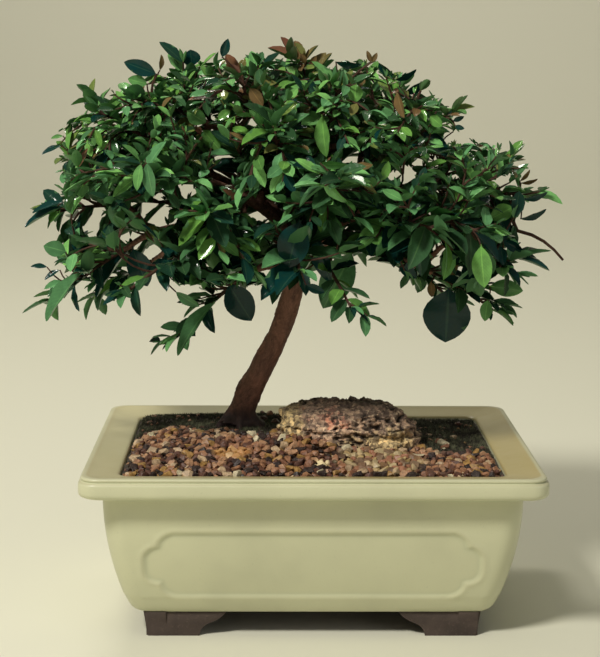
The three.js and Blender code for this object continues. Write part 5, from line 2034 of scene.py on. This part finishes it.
def spray_tree():
    """Twigs swept along a spray's edges and leaves set on its loose points."""
    nodes = Nodes("Leafy spray", [
        ("Leaf shapes", "Collection"), ("Twig sides", "Int"), ("Leaf size", "Float"),
        ("Leaf material", "Material"), ("Twig material", "Material"),
    ])
    split = nodes.node("GeometryNodeSeparateGeometry", {
        "Geometry": nodes.get("Geometry"), "Selection": nodes.attribute("is_leaf"),
    }, domain="POINT")
    size = nodes.node("ShaderNodeVectorMath", {
        0: nodes.attribute("leaf_size", "FLOAT_VECTOR"), "Scale": nodes.get("Leaf size"),
    }, operation="SCALE")
    kind = nodes.node("FunctionNodeFloatToInt", {0: nodes.attribute("kind")})
    leaves = nodes.node("GeometryNodeInstanceOnPoints", {
        "Points": split.outputs[0], "Instance": nodes.shapes("Leaf shapes"), "Pick Instance": True,
        "Instance Index": kind.outputs[0], "Rotation": nodes.attribute("leaf_turn", "FLOAT_VECTOR"),
        "Scale": size.outputs[0],
    })
    green = nodes.dressed(nodes.real(leaves.outputs[0]), "Leaf material")
    path = nodes.node("GeometryNodeMeshToCurve", {"Mesh": split.outputs[1]})
    sized = nodes.node("GeometryNodeSetCurveRadius", {
        "Curve": path.outputs[0], "Radius": nodes.attribute("thickness"),
    })
    sides = nodes.get("Twig sides")
    ring = nodes.node("GeometryNodeCurvePrimitiveCircle", {"Resolution": sides, "Radius": 1.0})
    sweep = nodes.node("GeometryNodeCurveToMesh", {
        "Curve": sized.outputs[0], "Profile Curve": ring.outputs[0], "Fill Caps": True,
    })
    if "Scale" in sweep.inputs:
        nodes.feed(sweep, "Scale", nodes.attribute("thickness"))
    brown = nodes.dressed(sweep.outputs[0], "Twig material")
    both = nodes.node("GeometryNodeJoinGeometry", {"Geometry": [green, brown]})
    nodes.finish(both.outputs[0])
    return nodes


def spray_skeleton(name, shoots, seed):
    """Edges for the twigs and loose points for the leaves, with what each needs to be made."""
    random = repeatable(seed)
    points, edges = [], []
    vectors = ("leaf_size", "leaf_turn")
    rows = {key: [] for key in ("is_leaf", "thickness", *vectors, "kind", "tone", "age")}

    def add(point, **values):
        points.append(to_row(point))
        for key, column in rows.items():
            column.append(values.get(key, (0, 0, 0) if key in vectors else 0))

    for shoot in shoots:
        radius = shoot.get("radius", TWIG_RADIUS)
        steps = 6 if radius > 0.6 else 4
        start = len(points)
        for k in range(steps + 1):
            add(shoot["stem"](k / steps), thickness=radius * mix(1.25, 0.7, k / steps) * MM)
        edges += [(start + k, start + k + 1) for k in range(steps)]
        for leaf in shoot["leaves"]:
            right = leaf["along"].cross(leaf["up"])
            turn = Matrix((right, leaf["along"], leaf["up"])).transposed().to_euler()
            small = leaf["length"] < SMALL_LEAF_LENGTH
            young, bud = shoot.get("young"), leaf.get("bud")
            age = mix(0.75, 1, random()) if young else leaf_age(leaf["base"], random, small or bud)
            kind = HALF_OPENED_KIND if bud or young else int(random() * GROWN_KINDS)
            if shoot.get("fill"):
                kind = FIRST_SMALL_KIND + int(random() * SMALL_KINDS)
            if "look" in leaf:
                kind = FIRST_FINE_KIND + int(random() * FINE_KINDS)
            # Painted shade: leaves low in the crown draw darker tones; larger leaves draw darker ones too
            shaded = 0.85 + 1.3 * smooth_step(leaf["base"].z, 205, 160) + (0 if small else 0.7)
            tone, age = leaf.get("look", (random() ** shaded, age))
            size = Vector((leaf["width"], leaf["length"], leaf["length"])) * MM
            add(
                leaf["base"], is_leaf=1, leaf_size=tuple(size), leaf_turn=tuple(turn), kind=kind, tone=tone,
                age=age,
            )
    mesh = bpy.data.meshes.new(name)
    mesh.from_pydata(points, edges, [])
    for key, column in rows.items():
        store(mesh, key, "FLOAT_VECTOR" if key in vectors else "FLOAT", column)
    return new_object(name, mesh)


class BONSAI_OT_foliage(bpy.types.Operator):
    """Grows the leafy sprays and the young shoots"""

    bl_idname = "bonsai.foliage"
    bl_label = "Leafy sprays"

    def execute(self, context):
        settings = context.scene.bonsai_tree
        wood, plans, taken = plan_tree()
        shapes = shape_collection("leaf_shapes", leaf_shapes())
        nodes = spray_tree()
        values = {
            "Leaf shapes": shapes, "Twig sides": 6, "Leaf size": 1.0,
            "Leaf material": leaf_material(settings), "Twig material": twig_material(settings),
        }
        for plan in plans:
            plan["leaves"] = [opened(leaf, taken) for leaf in plan["leaves"]]
        marked, shown = marked_twigs(wood, plans, taken)
        side = [side_shoots(plan, index, taken, shown) for index, plan in enumerate(plans)]

        def grow(name, shoots, seed, node=None, bud_seed=None):
            for k, shoot in enumerate(shoots if bud_seed else ()):
                shoot["leaves"] = shoot["leaves"] + bud_pair(shoot, bud_seed + k)
            settle(nodes.run(spray_skeleton(f"{name}_plan", shoots, seed), name, values), node)

        sprays = len(plans) - len(YOUNG_SHOOT_BASES)
        for index, plan in enumerate(plans):
            young = plan.get("young")
            node = f"young_shoot_{index + 1 - sprays}" if young else f"spray_{index + 1:02d}"
            grow(
                f"leafy_{node}", [plan, *side[index]], SEEDS["spray_tone"] + index,
                node, SEEDS["bud"] + 10 * index,
            )
        grow("edge_leaves", marked, SEEDS["edge_tone"])
        twigs = filling_twigs(wood, plans, taken, shown)
        for group in range(FILL_GROUPS):
            chosen = [twig for twig in twigs if twig["group"] == group]
            name, bud_seed = f"inner_leaves_{group + 1:02d}", SEEDS["fill_bud"] + 200 * group
            grow(name, chosen, SEEDS["fill_tone"] + group, bud_seed=bud_seed)
        drop_collection(shapes)
        return {"FINISHED"}


# The trunk
def bark_material(settings):
    paint = Paint("bark")
    bark = Vector(settings.bark)
    place = paint.attribute("bark_place", "Vector")
    broad = paint.noise(place, 0.35, 4)
    flakes = paint.noise(place, 1.6, 6, 0.65)
    colour = paint.ramp(broad, [(0.3, bark * 0.5), (0.5, bark), (0.72, bark * 1.7)])
    pale = bark * 2.3 + Vector((0.03, 0.02, 0.015))
    colour = paint.over(colour, pale, flakes, 0.5, 0.75, 0.6)
    colour = paint.over(colour, bark * 0.3, flakes, 0.42, 0.25, 0.7)
    # Painted shade, near black, over the trunk's foot where it meets the soil
    colour = paint.share_blend(paint.attribute("moist"), 0.85, colour, (0.016, 0.012, 0.014))
    return paint.finish(colour, 0.72, paint.bump(flakes, 0.7, 0.4 * MM))


def surface_roots():
    """Curves of the roots that spread from the trunk's foot and dive into the soil."""
    roots = []
    for azimuth, reach, thick in (
        (205, 12.5, 3.0), (268, 11, 2.6), (335, 11.5, 2.8), (30, 11, 2.6), (115, 11, 2.8),
    ):
        out = Vector((math.cos(math.radians(azimuth)), math.sin(math.radians(azimuth)), 0))
        curve = bezier(
            TRUNK_FOOT + UP * 8 + out * 2, TRUNK_FOOT + UP * 2.6 + out * (reach * 0.5),
            TRUNK_FOOT + out * (reach * 0.85), TRUNK_FOOT - UP * 5 + out * (reach * 1.1),
        )
        roots.append((curve, lambda t, angle=0, thick=thick: thick * mix(1, 0.5, t), 16, 12))
    return roots


class BONSAI_OT_trunk(bpy.types.Operator):
    """Builds the trunk, its surface roots, limbs and branches under one skin of bark"""

    bl_idname = "bonsai.trunk"
    bl_label = "Trunk and branches"

    def execute(self, context):
        wood = plan_wood(Taken())[0] + surface_roots()
        stub = smooth_curve([TRUNK_FOOT - UP * 24, TRUNK_FOOT - UP * 12, TRUNK_FOOT + UP * 1])
        wood.append((stub, lambda t, angle=0: 9, 4, 16))
        parts = [tube(curve, steps, radius_at, sides) for curve, radius_at, steps, sides in wood]
        rough = mesh_of("wood_rough", *gather(parts), in_row=False)
        turn_outwards(rough)
        trunk = voxel_skin("bark_trunk", rough, 0.72, 3)
        mesh = trunk.data
        samples = [
            (curve(k / 60), heading(curve, k / 60), radius_at(k / 60, 0))
            for curve, radius_at, *_ in wood for k in range(61)
        ]
        tree = search_tree([sample[0] for sample in samples])
        points = points_of(mesh)
        normals = np.array([v.normal for v in mesh.vertices])
        moved = points.copy()
        spots = np.zeros((len(points), 3))
        for k, point in enumerate(points):
            p = Vector(point)
            near = samples[tree.find(p)[1]]
            thick = min(1, max(0, (near[2] - 1.6) / 5))
            spot = p - near[1] * (p.dot(near[1]) * 0.72)
            spots[k] = spot
            furrow = noise.fractal(spot * 0.42, 0.8, 2.1, 4)
            knot = noise.noise(p * 0.09 + Vector((5, 1, 2)))
            moved[k] += normals[k] * (furrow * mix(0.12, 0.5, thick) + knot * 0.9 * thick)
        set_points(mesh, [to_row(Vector(p)) for p in moved])
        store(mesh, "bark_place", "FLOAT_VECTOR", spots)
        # Where the trunk's foot takes its painted shade: fully below about 84 mm, none above 93 mm
        heights = [p[2] + 2 * noise.noise(Vector(p) * 0.3) for p in points]
        store(mesh, "moist", "FLOAT", [smooth_step(height, 93, 84) for height in heights])
        dress(mesh, bark_material(context.scene.bonsai_tree))
        shade(mesh)
        settle(trunk, "trunk")
        return {"FINISHED"}


# The stage
ROOM_COLOUR = (0.95, 0.9, 0.8)
LIGHT_AIM = (0, 0, 0.13)
# Name, place, aim, size, share of the key light's power, colour
LIGHTS = (
    ("key", (-0.74, -0.99, 1.4), LIGHT_AIM, 0.34, 1, (1, 0.96, 0.88)),
    ("fill", (1.1, -0.9, 0.6), LIGHT_AIM, 0.9, 0.06, (0.95, 0.97, 1)),
    ("back", (-0.4, 0.8, 1.5), LIGHT_AIM, 0.3, 0.24, (1, 0.95, 0.85)),
    ("far", (0.1, 1.9, 2.6), (0.1, 3.4, 0.9), 1.6, 1, (1, 0.95, 0.85)),
)


def add_light(name, place, aim, size, power, colour):
    light = bpy.data.lights.new(name, "AREA")
    light.shape = "DISK"
    light.size = size
    light.energy = power
    light.color = colour
    obj = new_object(name, light)
    obj.location = place
    obj.rotation_euler = (Vector(aim) - Vector(place)).to_track_quat("-Z", "Y").to_euler()


class BONSAI_OT_stage(bpy.types.Operator):
    """Sets the plain floor, the soft lights and the camera"""

    bl_idname = "bonsai.stage"
    bl_label = "Floor, lights and camera"

    def execute(self, context):
        settings = context.scene.bonsai_stage
        sweep = [(-8.0, 0.0), (-2.0, 0.0), (1.6, 0.0)]
        for k in range(1, 25):
            angle = math.radians(90 * k / 24)
            sweep.append((2.2 + 1.4 * math.sin(angle), 1.4 - 1.4 * math.cos(angle)))
        sweep.append((3.6, 7.0))
        corners = [(x, y, z) for y, z in sweep for x in (-9, 9)]
        strips = [(2 * k, 2 * k + 1, 2 * k + 3, 2 * k + 2) for k in range(len(sweep) - 1)]
        mesh = mesh_of("floor", corners, strips, in_row=False)
        shade(mesh)
        dress(mesh, Paint("plain_floor").finish((*settings.floor, 1), 0.7))
        floor = new_object("floor", mesh)
        world = bpy.data.worlds.new("soft_room")
        world.use_nodes = True
        background = world.node_tree.nodes["Background"].inputs
        background["Color"].default_value = (*ROOM_COLOUR, 1)
        background["Strength"].default_value = settings.room_light
        context.scene.world = world
        context.scene.view_settings.view_transform = "Standard"
        for name, place, aim, size, share, colour in LIGHTS:
            add_light(name, place, aim, size, settings.key_power * share, colour)
        camera = bpy.data.cameras.new("photo_camera")
        camera.sensor_width = 36
        camera.lens = FOCAL_PIXELS / IMAGE_SIZE[1] * camera.sensor_width
        camera.clip_start = 0.05
        camera.clip_end = 50
        obj = new_object("photo_camera", camera)
        obj.matrix_world = Matrix.Translation(to_row(CAMERA_PLACE)) @ CAMERA_TURN.to_4x4()
        context.scene.camera = obj
        return {"FINISHED"}


OPERATORS = (
    BONSAI_OT_stage, BONSAI_OT_pot, BONSAI_OT_feet, BONSAI_OT_screens, BONSAI_OT_soil, BONSAI_OT_gravel,
    BONSAI_OT_moss, BONSAI_OT_stone, BONSAI_OT_trunk, BONSAI_OT_foliage,
)


class BONSAI_PT_panel(bpy.types.Panel):
    bl_idname = "BONSAI_PT_panel"
    bl_label = "Bonsai"
    bl_space_type = "VIEW_3D"
    bl_region_type = "UI"
    bl_category = "Bonsai"

    def draw(self, context):
        for group in SETTINGS:
            box = self.layout.box()
            settings = getattr(context.scene, group)
            for name in settings.__annotations__:
                box.prop(settings, name)
        for operator in OPERATORS:
            self.layout.operator(operator.bl_idname)


def register():
    for group, settings in SETTINGS.items():
        bpy.utils.register_class(settings)
        setattr(bpy.types.Scene, group, PointerProperty(type=settings))
    for operator in OPERATORS:
        bpy.utils.register_class(operator)
    bpy.utils.register_class(BONSAI_PT_panel)


def unregister():
    bpy.utils.unregister_class(BONSAI_PT_panel)
    for operator in reversed(OPERATORS):
        bpy.utils.unregister_class(operator)
    for group, settings in reversed(SETTINGS.items()):
        delattr(bpy.types.Scene, group)
        bpy.utils.unregister_class(settings)


def main():
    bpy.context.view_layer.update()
    register()
    bpy.ops.bonsai.stage()
    bpy.ops.bonsai.pot()
    bpy.ops.bonsai.feet()
    bpy.ops.bonsai.screens()
    bpy.ops.bonsai.soil()
    bpy.ops.bonsai.gravel()
    bpy.ops.bonsai.moss()
    bpy.ops.bonsai.stone()
    bpy.ops.bonsai.trunk()
    bpy.ops.bonsai.foliage()


if __name__ == "__main__":
    main()
